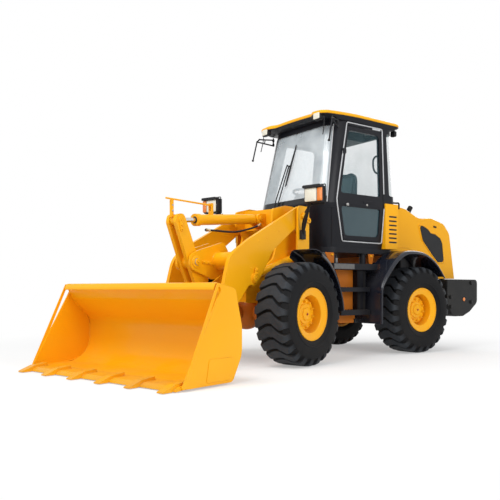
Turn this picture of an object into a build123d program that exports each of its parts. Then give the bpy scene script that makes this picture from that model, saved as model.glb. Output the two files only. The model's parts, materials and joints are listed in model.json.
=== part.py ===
"""Articulated wheel loader with a Z-bar bucket linkage.

Units are millimetres, +X forward along the rear frame, +Y to the driver's left, +Z up.
Pieces of the front half are drawn straight ahead of the steering hinge and are turned
about it as one group at the end, because the machine is parked with its steering turned.
The finished model stands with the middle of its bounding box's bottom face at the origin.
"""
import math
import os

from build123d import *

# ---- Driving dimensions -------------------------------------------------------------
STEER_PARKED = 14.0          # degrees the front half is turned to the left as parked
STEER_LIMIT = 35.0           # degrees either side of straight ahead
HINGE_TO_AXLE = 1145.0       # steering hinge to either axle
TRACK_HALF = 712.0           # machine centre to the middle of a tyre
TYRE_RADIUS = 537.0
TYRE_WIDTH = 405.0
RIM_SEAT_RADIUS = 258.0
RIM_FLANGE_RADIUS = 272.0
RIM_WIDTH = 356.0
BUCKET_HALF_WIDTH = 1055.0
ARM_OUTER_Y = 415.0          # outer face of a boom arm
ARM_THICKNESS = 40.0
TOWER_OUTER_Y = 430.0        # inner face of the tower's outer plate
TOWER_INNER_Y = 275.0        # outer face of the tower's inner plate
PLATE = 25.0                 # steel plate of the tower and the hinge frames
CAB_WALL = 40.0
CAB_REAR_X = -960.0
HOOD_HALF_WIDTH = 480.0
HOOD_SHEET = 20.0
SIDE_GAP = 5.0               # axial clearance between parts that swing past each other
PIN_GAP = 0.3                # radial clearance of a pin in its bore

# Pivot points in the side view of the front half, (x, z)
BOOM_PIVOT = (690.0, 1610.0)
LIFT_BASE = (600.0, 1180.0)
LIFT_EYE = (1505.0, 908.0)
TILT_BASE = (965.0, 1589.0)
TILT_EYE = (2225.0, 1472.0)
CRANK_PIVOT = (2040.0, 1065.0)
CRANK_FOOT = (1867.0, 720.0)
BUCKET_LINK_PIN = (2412.0, 470.0)
BUCKET_PIVOT = (2335.0, 280.0)
CROSS_TUBE = (1720.0, 1085.0)

# Steering cylinder eyes in plan, (x, y) of the left one
STEER_BASE = (-450.0, 300.0)
STEER_EYE = (250.0, 230.0)
STEER_Z = 760.0
STEER_PIN = 20.0

rear = {}
front = {}


# ---- Small shape makers -------------------------------------------------------------
def at_axle(rows, axle_x):
    """Rows of (x, z, corner radius) whose x values are measured from an axle."""
    return [(axle_x + x, z, radius) for x, z, radius in rows]


def outline(rows, plane=Plane.XZ):
    """Closed face from rows of (x, z, corner radius)."""
    points = [(row[0], row[1]) for row in rows]
    radii = [row[2] for row in rows]
    with BuildSketch(plane) as sketch:
        with BuildLine():
            FilletPolyline(*points, radius=radii, close=True)
        make_face()
    return sketch.sketch


def side_plate(rows, y_low, y_high):
    """Plate with a side-view outline of (x, z, corner radius) between two y values."""
    plate = extrude(outline(rows), amount=y_high - y_low, dir=(0, 1, 0))
    return Pos(0, y_low, 0) * plate


def plan_plate(rows, z_low, z_high):
    """Plate with a plan outline of (x, y, corner radius) between two z values."""
    return Pos(0, 0, z_low) * extrude(outline(rows, Plane.XY), amount=z_high - z_low)


def block(x_low, x_high, y_low, y_high, z_low, z_high):
    """Rectangular block between two values on each axis, given in any order."""
    size = (abs(x_high - x_low), abs(y_high - y_low), abs(z_high - z_low))
    return Pos((x_low + x_high) / 2, (y_low + y_high) / 2, (z_low + z_high) / 2) * Box(*size)


def cross_rod(pivot, radius, y_low, y_high):
    """Round bar along Y through a side-view pivot."""
    rod = Rot(90, 0, 0) * Cylinder(radius, y_high - y_low)
    return Pos(pivot[0], (y_low + y_high) / 2, pivot[1]) * rod


def bar_between(start, end, radius):
    """Round bar between two points."""
    start, end = Vector(*start), Vector(*end)
    way = end - start
    plane = Plane(origin=start, z_dir=way.normalized())
    return plane * Cylinder(radius, way.length, align=(Align.CENTER, Align.CENTER, Align.MIN))


def both_sides(shape):
    """The shape and its mirror image across the machine's middle plane."""
    return shape + mirror(shape, Plane.XZ)


def turned(rows, axle_x, side):
    """Solid of revolution about a wheel's axle; rows of (radius, outward offset, corner radius)."""
    with BuildSketch(Plane.XY) as sketch:
        with BuildLine():
            FilletPolyline(*[(row[0], row[1]) for row in rows], radius=[row[2] for row in rows],
                           close=True)
        make_face()
    solid = revolve(sketch.sketch, Axis.Y)
    if side < 0:
        solid = mirror(solid, Plane.XZ)
    return Pos(axle_x, side * TRACK_HALF, TYRE_RADIUS) * solid


# ---- Wheels -------------------------------------------------------------------------
HUB_RADIUS = 160.0
HUB_PROUD = 75.0             # hub face beyond the wheel's middle plane
WELL_RADIUS = 192.0          # inside of the dished well that the hub sits in
DISC_BACK = 10.0
DISC_FRONT = 30.0
SPINDLE_RADIUS = 60.0
SPINDLE_TIP = 50.0

half_tyre = TYRE_WIDTH / 2
TYRE_ROWS = [  # radius, outward offset, corner radius
    (RIM_SEAT_RADIUS, 166, 0), (RIM_FLANGE_RADIUS, 166, 0), (330, half_tyre, 60), (475, half_tyre, 40),
    (TYRE_RADIUS - 8, 165, 20), (TYRE_RADIUS, 110, 0),
    (TYRE_RADIUS, -110, 0), (TYRE_RADIUS - 8, -165, 20), (475, -half_tyre, 40),
    (330, -half_tyre, 60), (RIM_FLANGE_RADIUS, -166, 0), (RIM_SEAT_RADIUS, -166, 0),
]
half_rim = RIM_WIDTH / 2
RIM_ROWS = [  # radius, outward offset, corner radius
    (0, HUB_PROUD, 0), (HUB_RADIUS, HUB_PROUD, 8), (HUB_RADIUS, DISC_FRONT, 0),
    (WELL_RADIUS, DISC_FRONT, 0), (WELL_RADIUS, half_rim - 28, 12),
    (RIM_FLANGE_RADIUS - 10, half_rim - 6, 0), (RIM_FLANGE_RADIUS - 10, half_rim, 0),
    (RIM_FLANGE_RADIUS, half_rim, 0), (RIM_FLANGE_RADIUS, 166, 0),
    (RIM_SEAT_RADIUS, 166, 0), (RIM_SEAT_RADIUS, -166, 0), (RIM_FLANGE_RADIUS, -166, 0),
    (RIM_FLANGE_RADIUS, -half_rim, 0), (RIM_SEAT_RADIUS - 12, -half_rim, 0),
    (RIM_SEAT_RADIUS - 12, half_rim - 24, 0), (WELL_RADIUS + 10, half_rim - 36, 0),
    (WELL_RADIUS + 10, DISC_BACK, 0), (SPINDLE_RADIUS + PIN_GAP, DISC_BACK, 0),
    (SPINDLE_RADIUS + PIN_GAP, SPINDLE_TIP + 3, 0), (0, SPINDLE_TIP + 3, 0),
]
FRONT_AXLE_X = HINGE_TO_AXLE
REAR_AXLE_X = -HINGE_TO_AXLE
WHEELS = [  # name, group, axle x, side
    ("front_left", front, FRONT_AXLE_X, 1), ("front_right", front, FRONT_AXLE_X, -1),
    ("rear_left", rear, REAR_AXLE_X, 1), ("rear_right", rear, REAR_AXLE_X, -1),
]
for name, group, axle_x, side in WHEELS:
    group[name + "_tyre"] = turned(TYRE_ROWS, axle_x, side)
    group[name + "_rim"] = turned(RIM_ROWS, axle_x, side)

# ---- Axles --------------------------------------------------------------------------
AXLE_TUBE_RADIUS = 90.0
AXLE_HUB_RADIUS = 150.0
DIFFERENTIAL_RADIUS = 190.0
PINION_RADIUS = 95.0         # nose housing of the differential
SHAFT_RADIUS = 32.0          # propeller shaft
AXLE_SEAT_Z = TYRE_RADIUS + 108.0
SEAT_REACH = 155.0           # frame's flat over an axle, either side of its middle
HINGE_WALL_X = 140.0         # front frame's rear wall ahead of the hinge
REAR_WALL_X = -150.0         # rear frame's front wall behind the hinge
RAIL_INNER_Y = 380.0         # inner face of a rear frame rail


def axle(axle_x, seat_y, shaft_end):
    """Rigid axle: differential, tubes, seats under the frame plates, brakes, propeller shaft."""
    centre = (axle_x, TYRE_RADIUS)
    tube = cross_rod(centre, AXLE_TUBE_RADIUS, -TRACK_HALF + 60, TRACK_HALF - 60)
    ball = Pos(axle_x, 0, TYRE_RADIUS) * Sphere(DIFFERENTIAL_RADIUS)
    nose = Cylinder(PINION_RADIUS, 2 * DIFFERENTIAL_RADIUS + 90)
    nose = Pos(axle_x, 0, TYRE_RADIUS) * Rot(0, 90, 0) * nose
    hub = cross_rod(centre, AXLE_HUB_RADIUS, TRACK_HALF - 190, TRACK_HALF - 60)
    drum = cross_rod(centre, AXLE_HUB_RADIUS - 25, TRACK_HALF - 60, TRACK_HALF)
    spindle = cross_rod(centre, SPINDLE_RADIUS, TRACK_HALF - 10, TRACK_HALF + SPINDLE_TIP)
    seat = block(axle_x - 110, axle_x + 110, seat_y - 25, seat_y + 25, TYRE_RADIUS + 20,
                 AXLE_SEAT_Z)
    shaft_middle = (axle_x + shaft_end) / 2
    shaft = Cylinder(SHAFT_RADIUS, abs(axle_x - shaft_end))
    shaft = Pos(shaft_middle, 0, TYRE_RADIUS) * Rot(0, 90, 0) * shaft
    return tube + ball + nose + shaft + both_sides(hub + drum + spindle + seat)


front["front_axle"] = axle(FRONT_AXLE_X, TOWER_INNER_Y - PLATE / 2, HINGE_WALL_X + PLATE)
rear["rear_axle"] = axle(REAR_AXLE_X, RAIL_INNER_Y + PLATE / 2, REAR_WALL_X - PLATE)

# ---- Steering hinge -----------------------------------------------------------------
HINGE_PIN_RADIUS = 38.0
HINGE_LUG_RADIUS = 85.0
HINGE_LUG = 60.0             # thickness of a front lug
FORK_PLATE = 35.0
HINGE_LEVELS = (470.0, 1020.0)
FRAME_LOW = 430.0
FRAME_HIGH = 1075.0


def hinge_lug(z_low, z_high, wall_x):
    """Round-ended lug from a frame wall to the hinge line."""
    reach = block(min(0, wall_x), max(0, wall_x), -HINGE_LUG_RADIUS, HINGE_LUG_RADIUS,
                  z_low, z_high)
    eye = Pos(0, 0, (z_low + z_high) / 2) * Cylinder(HINGE_LUG_RADIUS, z_high - z_low)
    return reach + eye


def upright_rod(x, y, radius, z_low, z_high):
    """Round bar along Z."""
    return Pos(x, y, (z_low + z_high) / 2) * Cylinder(radius, z_high - z_low)


# ---- Front frame with the boom tower ------------------------------------------------
TOWER_REAR_X = 580.0
TOWER_TOP_Z = 1735.0
NOSE_X = FRONT_AXLE_X + 335
LIFT_Y = 325.0               # middle plane of a lift cylinder
LIFT_BASE_PIN = 30.0
TILT_BASE_PIN = 30.0
BOOM_PIN = 38.0
LUG_Y = 35.0                 # inner face of a tilt cylinder lug
LUG_THICKNESS = 30.0
PIN_END = 12.0               # how far a tower pin stands out of its plate
BASE_BOSS_RADIUS = 50.0

NOTCH_X = 360.0              # front end of the notch the steering cylinders swing through
NOTCH_HALF = 52.0
inner_rows = [
    (HINGE_WALL_X, FRAME_LOW, 0), (HINGE_WALL_X, STEER_Z - NOTCH_HALF, 0),
    (NOTCH_X, STEER_Z - NOTCH_HALF, 40), (NOTCH_X, STEER_Z + NOTCH_HALF, 40),
    (HINGE_WALL_X, STEER_Z + NOTCH_HALF, 0), (HINGE_WALL_X, FRAME_HIGH, 40), (400, FRAME_HIGH, 80),
    (TOWER_REAR_X, 1300, 120), (TOWER_REAR_X, TOWER_TOP_Z, 60), (790, TOWER_TOP_Z, 40),
    (1020, 1680, 30), (1030, 1520, 40), (900, 1400, 60), (1010, 1130, 80),
    (NOSE_X, 830, 20), (NOSE_X, 650, 20), (FRONT_AXLE_X + SEAT_REACH, AXLE_SEAT_Z, 0),
    (FRONT_AXLE_X - SEAT_REACH, AXLE_SEAT_Z, 0), (FRONT_AXLE_X - 345, FRAME_LOW, 80),
]
outer_rows = [
    (TOWER_REAR_X, 1140, 20), (TOWER_REAR_X, TOWER_TOP_Z - 10, 40), (790, TOWER_TOP_Z - 10, 50),
    (800, 1240, 0), (760, 1060, 40), (660, 1060, 20),
]
base_boss = cross_rod(LIFT_BASE, BASE_BOSS_RADIUS, TOWER_INNER_Y, LIFT_Y - 33)
base_boss += cross_rod(LIFT_BASE, BASE_BOSS_RADIUS, LIFT_Y + 33, TOWER_OUTER_Y)
tower_pin_low, tower_pin_high = TOWER_INNER_Y - PLATE, TOWER_OUTER_Y + PLATE + PIN_END
side_frame = side_plate(inner_rows, TOWER_INNER_Y - PLATE, TOWER_INNER_Y)
side_frame += side_plate(outer_rows, TOWER_OUTER_Y, TOWER_OUTER_Y + PLATE)
side_frame += block(TOWER_REAR_X, TOWER_REAR_X + 12, TOWER_INNER_Y, TOWER_OUTER_Y, 1240, 1460)
side_frame += block(668, 745, TOWER_INNER_Y, TOWER_OUTER_Y, 1060, 1078)
side_frame += base_boss
side_frame += cross_rod(LIFT_BASE, LIFT_BASE_PIN, tower_pin_low, tower_pin_high)
side_frame += cross_rod(BOOM_PIVOT, BOOM_PIN, tower_pin_low, tower_pin_high)
tilt_lug_rows = [
    (860, 1480, 0), (900, 1480, 20), (1025, 1545, 60), (1020, 1638, 50), (900, 1648, 20),
    (860, 1648, 0),
]
front_frame = both_sides(side_frame)
front_frame += both_sides(side_plate(tilt_lug_rows, LUG_Y, LUG_Y + LUG_THICKNESS))
tilt_pin_half = LUG_Y + LUG_THICKNESS + 8
front_frame += cross_rod(TILT_BASE, TILT_BASE_PIN, -tilt_pin_half, tilt_pin_half)
inner_span = TOWER_INNER_Y - PLATE
for x_low, x_high, z_low, z_high in (  # cross walls between the inner plates
        (850, 875, 1470, 1700), (NOSE_X - PLATE, NOSE_X, 660, 820),
        (FRONT_AXLE_X - 145, FRONT_AXLE_X + 135, 745, 765),
        (HINGE_WALL_X, HINGE_WALL_X + PLATE, FRAME_LOW, 570),
        (HINGE_WALL_X, HINGE_WALL_X + PLATE, 950, FRAME_HIGH), (600, 625, 1100, 1400)):
    front_frame += block(x_low, x_high, -inner_span, inner_span, z_low, z_high)
for level in HINGE_LEVELS:
    lug = hinge_lug(level - HINGE_LUG / 2, level + HINGE_LUG / 2, HINGE_WALL_X)
    bore = upright_rod(0, 0, HINGE_PIN_RADIUS + PIN_GAP, level - HINGE_LUG, level + HINGE_LUG)
    front_frame += lug
    front_frame -= bore

# Cheeks above and below each steering cylinder's rod eye, on webs from the inner plates
EYE_WIDTH = 50.0
STEER_CHEEK = 25.0
STEER_CHEEK_RADIUS = 42.0
for side in (1, -1):
    for direction in (1, -1):
        middle = STEER_Z + direction * (EYE_WIDTH / 2 + SIDE_GAP + STEER_CHEEK / 2)
        low, high = middle - STEER_CHEEK / 2, middle + STEER_CHEEK / 2
        front_frame += block(STEER_EYE[0], NOTCH_X + 20, side * (STEER_EYE[1] - 25),
                             side * TOWER_INNER_Y, low, high)
        front_frame += upright_rod(STEER_EYE[0], side * STEER_EYE[1], STEER_CHEEK_RADIUS, low, high)
front["front_frame"] = front_frame

# ---- Lift boom ----------------------------------------------------------------------
arm_inner_y = ARM_OUTER_Y - ARM_THICKNESS
arm_rows = [
    (610, 1650, 60), (700, 1735, 60), (1592, 1306, 250), (1890, 1130, 260), (2010, 730, 260),
    (2280, 400, 60), (2410, 345, 60), (2400, 205, 60), (2270, 200, 40), (1730, 690, 200),
    (1590, 840, 60), (1480, 830, 50), (1420, 900, 60), (1190, 1215, 300), (720, 1520, 40),
    (612, 1562, 60),
]
CROSS_TUBE_RADIUS = 90.0
EAR_Y = 78.0                 # inner face of a bell crank ear
EAR_THICKNESS = 30.0
BOSS_PROUD = 5.0             # how far a bucket pivot boss stands out of its arm
ear_rows = [
    (2130, 1010, 60), (2125, 1130, 70), (2020, 1180, 60), (1640, 1285, 40), (1570, 1190, 30),
    (1640, 960, 40), (1790, 890, 60), (2060, 975, 60),
]
cheek_rows = [
    (1450, 880, 45), (1490, 960, 40), (1640, 1150, 60), (1780, 1180, 60), (1800, 1020, 60),
    (1600, 860, 60), (1500, 845, 45),
]
cheek_y = LIFT_Y - EYE_WIDTH / 2 - SIDE_GAP
arm = side_plate(arm_rows, arm_inner_y, ARM_OUTER_Y)
arm += cross_rod(BOOM_PIVOT, 78, TOWER_INNER_Y + SIDE_GAP, TOWER_OUTER_Y - SIDE_GAP)
arm += cross_rod(LIFT_EYE, 52, LIFT_Y + EYE_WIDTH / 2 + SIDE_GAP, ARM_OUTER_Y + 14)
arm += cross_rod(BUCKET_PIVOT, 72, arm_inner_y - BOSS_PROUD, ARM_OUTER_Y + BOSS_PROUD)
arm += side_plate(cheek_rows, cheek_y - 15, cheek_y)
ear = side_plate(ear_rows, EAR_Y, EAR_Y + EAR_THICKNESS)
boom = both_sides(arm + ear)
boom += cross_rod(CROSS_TUBE, CROSS_TUBE_RADIUS, -arm_inner_y, arm_inner_y)
CRANK_PIN = 35.0
BUCKET_PIN = 32.0
boom -= cross_rod(BOOM_PIVOT, BOOM_PIN + PIN_GAP, -500, 500)
boom -= cross_rod(CRANK_PIVOT, CRANK_PIN + PIN_GAP, -200, 200)
boom -= cross_rod(BUCKET_PIVOT, BUCKET_PIN + PIN_GAP, -500, 500)
front["boom"] = boom

# ---- Bell crank, its pin, and the bucket link ---------------------------------------
CRANK_OUTER_Y = 72.0
CRANK_INNER_Y = 32.0
crank_rows = [
    (2160, 1500, 40), (2190, 1535, 40), (2270, 1530, 50), (2290, 1450, 50), (2115, 1040, 300),
    (1940, 680, 50), (1880, 645, 40), (1812, 660, 50), (1800, 740, 60), (1960, 1060, 200),
]
crank = both_sides(side_plate(crank_rows, CRANK_INNER_Y, CRANK_OUTER_Y))
crank += cross_rod(CRANK_PIVOT, 65, -CRANK_OUTER_Y, CRANK_OUTER_Y)
LINK_PIN = 24.0
crank -= cross_rod(CRANK_PIVOT, CRANK_PIN + PIN_GAP, -200, 200)
crank += both_sides(cross_rod(CRANK_FOOT, LINK_PIN, CRANK_INNER_Y, CRANK_OUTER_Y + 8))
front["bell_crank"] = crank
crank_pin_half = EAR_Y + EAR_THICKNESS + 15
front["crank_pin"] = cross_rod(CRANK_PIVOT, CRANK_PIN, -crank_pin_half, crank_pin_half)
LINK_HALF = 25.0
LINK_EYE_RADIUS = 42.0
link_pin_half = LINK_HALF + SIDE_GAP + PLATE + 10
front["link_pin"] = cross_rod(BUCKET_LINK_PIN, LINK_PIN, -link_pin_half, link_pin_half)
link_way = Vector(BUCKET_LINK_PIN[0] - CRANK_FOOT[0], 0, BUCKET_LINK_PIN[1] - CRANK_FOOT[1])
link_angle = math.degrees(math.atan2(link_way.Z, link_way.X))
link_bar = Rot(0, -link_angle, 0) * Pos(link_way.length / 2, 0, 0) * Box(link_way.length, 50, 60)
bucket_link = Pos(CRANK_FOOT[0], 0, CRANK_FOOT[1]) * link_bar
bucket_link += cross_rod(CRANK_FOOT, LINK_EYE_RADIUS, -LINK_HALF, LINK_HALF)
bucket_link += cross_rod(BUCKET_LINK_PIN, LINK_EYE_RADIUS, -LINK_HALF, LINK_HALF)
bucket_link -= cross_rod(CRANK_FOOT, LINK_PIN + PIN_GAP, -100, 100)
bucket_link -= cross_rod(BUCKET_LINK_PIN, LINK_PIN + PIN_GAP, -100, 100)
front["bucket_link"] = bucket_link

# ---- Bucket -------------------------------------------------------------------------
SIDE_PLATE = 16.0
wrapper_outside = [  # outer skin profile, open at the front
    (3165, 18, 0), (2700, 40, 120), (2462, 120, 260), (2462, 500, 150), (2680, 715, 60),
    (2748, 850, 0),
]
wrapper_rows = wrapper_outside + [
    (2766, 843, 0), (2698, 702, 50), (2480, 488, 130), (2480, 138, 240), (2706, 58, 110),
    (3165, 40, 0),
]
side_rows = [  # bucket side plate
    (3165, 18, 10), (2575, 18, 60), (2455, 240, 200), (2455, 480, 150), (2540, 800, 30),
    (2766, 850, 10), (2715, 790, 30),
]
bucket_side = side_plate(side_rows, BUCKET_HALF_WIDTH - SIDE_PLATE, BUCKET_HALF_WIDTH)
bucket = side_plate(wrapper_rows, -BUCKET_HALF_WIDTH + SIDE_PLATE, BUCKET_HALF_WIDTH - SIDE_PLATE)
hinge_rows = [  # pair of hinge ears beside each boom arm
    (2275, 215, 55), (2270, 330, 60), (2380, 420, 40), (2500, 520, 0), (2500, 120, 0),
    (2400, 190, 40),
]
link_ear_rows = [
    (2360, 425, 45), (2360, 515, 45), (2470, 560, 0), (2500, 560, 0), (2500, 370, 0),
    (2470, 370, 0),
]
outer_ear_y = ARM_OUTER_Y + BOSS_PROUD + SIDE_GAP
inner_ear_y = arm_inner_y - BOSS_PROUD - SIDE_GAP
ears = side_plate(hinge_rows, outer_ear_y, outer_ear_y + PLATE)
ears += side_plate(hinge_rows, inner_ear_y - PLATE, inner_ear_y)
link_ears = side_plate(link_ear_rows, LINK_HALF + SIDE_GAP, LINK_HALF + SIDE_GAP + PLATE)
ear_mask = side_plate(wrapper_outside + [(3300, 850, 0)], -2000, 2000)
bucket += both_sides(bucket_side) + (both_sides(ears + link_ears) - ear_mask)
bucket -= cross_rod(BUCKET_PIVOT, BUCKET_PIN + PIN_GAP, -600, 600)
bucket -= cross_rod(BUCKET_LINK_PIN, LINK_PIN + PIN_GAP, -200, 200)
front["bucket"] = bucket
bucket_pin = cross_rod(BUCKET_PIVOT, BUCKET_PIN, inner_ear_y - PLATE - 8, outer_ear_y + PLATE + 8)
front["bucket_pins"] = both_sides(bucket_pin)

# ---- Cutting edge and teeth ---------------------------------------------------------
TOOTH_COUNT = 6
TOOTH_INSET = 79.0           # outermost tooth's middle from the bucket's side
TOOTH_TIP_X = 3318.0
TOOTH_HALF_WIDTH = 36.0
edge_rows = [
    (3215, 8, 0), (3205, 26, 0), (3165, 44, 0), (2980, 50, 0), (2980, 30, 0), (3165, 12, 0),
]
tooth_rows = [
    (TOOTH_TIP_X, 6, 0), (TOOTH_TIP_X, 16, 0), (3190, 62, 0), (3050, 78, 0), (3040, 40, 0),
    (3165, 30, 0), (3230, 6, 0),
]
edge = side_plate(edge_rows, -BUCKET_HALF_WIDTH + SIDE_PLATE, BUCKET_HALF_WIDTH - SIDE_PLATE)
tooth_span = 2 * (BUCKET_HALF_WIDTH - TOOTH_INSET)
for number in range(TOOTH_COUNT):
    tooth_y = -tooth_span / 2 + number * tooth_span / (TOOTH_COUNT - 1)
    edge += side_plate(tooth_rows, tooth_y - TOOTH_HALF_WIDTH, tooth_y + TOOTH_HALF_WIDTH)
front["cutting_edge"] = edge - bucket

# ---- Rear frame, with the hinge forks and pins --------------------------------------
RAIL_OUTER_Y = RAIL_INNER_Y + PLATE
RAIL_TOP = 900.0
COUNTERWEIGHT_X = REAR_AXLE_X - 685    # front face of the counterweight
BULKHEAD_X = -1010.0
rail_rows = [
    (REAR_WALL_X, FRAME_LOW, 0), (REAR_WALL_X, FRAME_HIGH, 40), (-560, FRAME_HIGH, 80),
    (-760, RAIL_TOP, 80), (COUNTERWEIGHT_X, RAIL_TOP, 0), (COUNTERWEIGHT_X, 700, 0),
    (REAR_AXLE_X - SEAT_REACH, AXLE_SEAT_Z, 0), (REAR_AXLE_X + SEAT_REACH, AXLE_SEAT_Z, 0),
    (REAR_AXLE_X + 365, FRAME_LOW, 80),
]
rear_frame = both_sides(side_plate(rail_rows, RAIL_INNER_Y, RAIL_OUTER_Y))
for x_low, x_high, z_low, z_high in (  # cross walls between the rails
        (REAR_WALL_X - PLATE, REAR_WALL_X, FRAME_LOW, 570),
        (REAR_WALL_X - PLATE, REAR_WALL_X, 950, FRAME_HIGH),
        (BULKHEAD_X - 8, BULKHEAD_X, 840, 1840),
        (REAR_AXLE_X - 555, REAR_AXLE_X - 455, 780, 800)):
    rear_frame += block(x_low, x_high, -RAIL_INNER_Y, RAIL_INNER_Y, z_low, z_high)
rear_frame += block(BULKHEAD_X - 8, BULKHEAD_X, -470, 470, RAIL_TOP + 20, 1840)
for level in HINGE_LEVELS:
    for direction in (1, -1):
        middle = level + direction * (HINGE_LUG / 2 + SIDE_GAP + FORK_PLATE / 2)
        rear_frame += hinge_lug(middle - FORK_PLATE / 2, middle + FORK_PLATE / 2, REAR_WALL_X)
    reach = HINGE_LUG / 2 + SIDE_GAP + FORK_PLATE
    rear_frame += upright_rod(0, 0, HINGE_PIN_RADIUS, level - reach - 14, level + reach + 10)
for side in (1, -1):
    for direction in (1, -1):  # cheeks either side of a steering cylinder's base eye
        middle = STEER_Z + direction * (EYE_WIDTH / 2 + SIDE_GAP + STEER_CHEEK / 2)
        rear_frame += block(STEER_BASE[0] - 45, STEER_BASE[0] + 45, side * RAIL_INNER_Y,
                            side * (STEER_BASE[1] - 45), middle - STEER_CHEEK / 2,
                            middle + STEER_CHEEK / 2)
    rear_frame += upright_rod(STEER_BASE[0], side * STEER_BASE[1], STEER_PIN,
                              STEER_Z - 70, STEER_Z + 70)
rear["rear_frame"] = rear_frame


# ---- Hydraulic cylinders ------------------------------------------------------------
GLAND = 60.0                 # length of a barrel's gland head


def barrel(length, radius, head_radius, neck, eye_radius, eye_width, pin_radius):
    """Cylinder barrel along +X: base eye about Y, neck, tube and gland head."""
    tube = Pos(neck, 0, 0) * Rot(0, 90, 0) * Cylinder(
        radius, length - neck, align=(Align.CENTER, Align.CENTER, Align.MIN))
    head = Pos(length - GLAND, 0, 0) * Rot(0, 90, 0) * Cylinder(
        head_radius, GLAND, align=(Align.CENTER, Align.CENTER, Align.MIN))
    eye = Rot(90, 0, 0) * Cylinder(eye_radius, eye_width)
    eye += block(0, neck, -eye_width / 2, eye_width / 2, -0.8 * radius, 0.8 * radius)
    hole = Rot(90, 0, 0) * Cylinder(pin_radius + PIN_GAP, eye_width + 2)
    return tube + head + eye - hole


def rod(start, length, radius, eye_radius, eye_width):
    """Piston rod along +X from its hidden end to a solid eye at the given length."""
    shaft = Pos(start, 0, 0) * Rot(0, 90, 0) * Cylinder(
        radius, length - start, align=(Align.CENTER, Align.CENTER, Align.MIN))
    eye = Pos(length, 0, 0) * Rot(90, 0, 0) * Cylinder(eye_radius, eye_width)
    return shaft + eye


def rod_hole(start, length, radius):
    """Bore of a barrel, open at the gland."""
    return Pos(start, 0, 0) * Rot(0, 90, 0) * Cylinder(
        radius + PIN_GAP, length, align=(Align.CENTER, Align.CENTER, Align.MIN))


def upright_place(base, eye, y):
    """Places a cylinder drawn along +X from a base pivot towards an eye in the side view."""
    angle = math.degrees(math.atan2(eye[1] - base[1], eye[0] - base[0]))
    return Pos(base[0], y, base[1]) * Rot(0, -angle, 0)


def distance(a, b):
    return math.hypot(b[0] - a[0], b[1] - a[1])


lift_length = distance(LIFT_BASE, LIFT_EYE)
LIFT_BARREL = 790.0
ROD_RADIUS = 25.0            # piston rods of the lift and tilt cylinders
lift_barrel = barrel(LIFT_BARREL, 42, 44, 60, 44, EYE_WIDTH, LIFT_BASE_PIN)
lift_barrel -= rod_hole(110, LIFT_BARREL, ROD_RADIUS)
lift_rod = rod(140, lift_length, ROD_RADIUS, 46, EYE_WIDTH)
lift_way = upright_place(LIFT_BASE, LIFT_EYE, LIFT_Y)
front["lift_barrels"] = both_sides(lift_way * lift_barrel)
front["lift_rods"] = both_sides(lift_way * lift_rod)

tilt_length = distance(TILT_BASE, TILT_EYE)
TILT_BARREL = 1000.0
TILT_EYE_WIDTH = 60.0
tilt_way = upright_place(TILT_BASE, TILT_EYE, 0)
tilt_barrel = barrel(TILT_BARREL, 55, 63, 80, 50, TILT_EYE_WIDTH, TILT_BASE_PIN)
tilt_barrel -= rod_hole(480, 600, ROD_RADIUS)
tilt_barrel = tilt_way * tilt_barrel + block(1705, 1735, -22, 22, 1560, 1610)
tilt_barrel += both_sides(block(1705, 1735, 14, 22, 1610, 1690))
tilt_rod = tilt_way * rod(650, tilt_length, ROD_RADIUS, 50, 54)
tilt_rod += block(2264, 2292, -14, 14, 1500, 1668)
tilt_rod += bar_between((2354, 0, 1678), (1690, 0, 1668), 9)
front["tilt_barrel"] = tilt_barrel
front["tilt_rod"] = tilt_rod

STEER_ROD = 429.0            # hidden end to eye
STEER_BARREL = 470.0
STEER_ROD_RADIUS = 18.0
for name, side in (("left", 1), ("right", -1)):
    # the rod's eye as parked: the front half is already turned
    turn = math.radians(STEER_PARKED)
    eye_x = STEER_EYE[0] * math.cos(turn) - side * STEER_EYE[1] * math.sin(turn)
    eye_y = STEER_EYE[0] * math.sin(turn) + side * STEER_EYE[1] * math.cos(turn)
    start_y = side * STEER_BASE[1]
    length = math.hypot(eye_x - STEER_BASE[0], eye_y - start_y)
    angle = math.degrees(math.atan2(eye_y - start_y, eye_x - STEER_BASE[0]))
    way = Pos(STEER_BASE[0], start_y, STEER_Z) * Rot(0, 0, angle) * Rot(90, 0, 0)
    steer_barrel = barrel(STEER_BARREL, 36, 40, 66, 38, EYE_WIDTH, STEER_PIN)
    steer_barrel -= rod_hole(90, STEER_BARREL, STEER_ROD_RADIUS)
    steer_rod = rod(length - STEER_ROD, length, STEER_ROD_RADIUS, 38, EYE_WIDTH)
    rear["steer_barrel_" + name] = way * steer_barrel
    rear["steer_rod_" + name] = way * steer_rod

# ---- Cab shell ----------------------------------------------------------------------
CAB_FLOOR_Z = 1290.0
CAB_BELT_Z = 1800.0
CAB_TOP_Z = 2790.0
FRONT_CORNER = 230.0
REAR_CORNER = 110.0
CAB_SECTIONS = [  # height, front x, half width
    (CAB_FLOOR_Z, 215, 600), (CAB_BELT_Z, 300, 650), (CAB_TOP_Z, 87, 586),
]
DOOR_GAP = 9.0
DOOR_HINGE = (-48.0, 627.0)   # vertical hinge line in plan
KNUCKLE_LEVELS = (1390.0, 2400.0)   # lower ends of a door's two hinge knuckles
KNUCKLE_LENGTH = 44.0
KNUCKLE_RADIUS = 10.0
STRAP_REACH = 40.0    # strap from a knuckle back over the door's edge
STRAP_WIDTH = 18.0
STRAP_DEPTH = 45.0    # how far its foot runs in to the door
GLASS = 6.0


def cab_section(z, front_x, half_width, inset):
    """Plan section of the cab, rounded at the corners, set in from the outside."""
    low, high, half = CAB_REAR_X + inset, front_x - inset, half_width - inset
    corners = [
        (low, -half, REAR_CORNER - inset), (high, -half, FRONT_CORNER - inset),
        (high, half, FRONT_CORNER - inset), (low, half, REAR_CORNER - inset),
    ]
    return Pos(0, 0, z) * outline(corners, Plane.XY)


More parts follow.
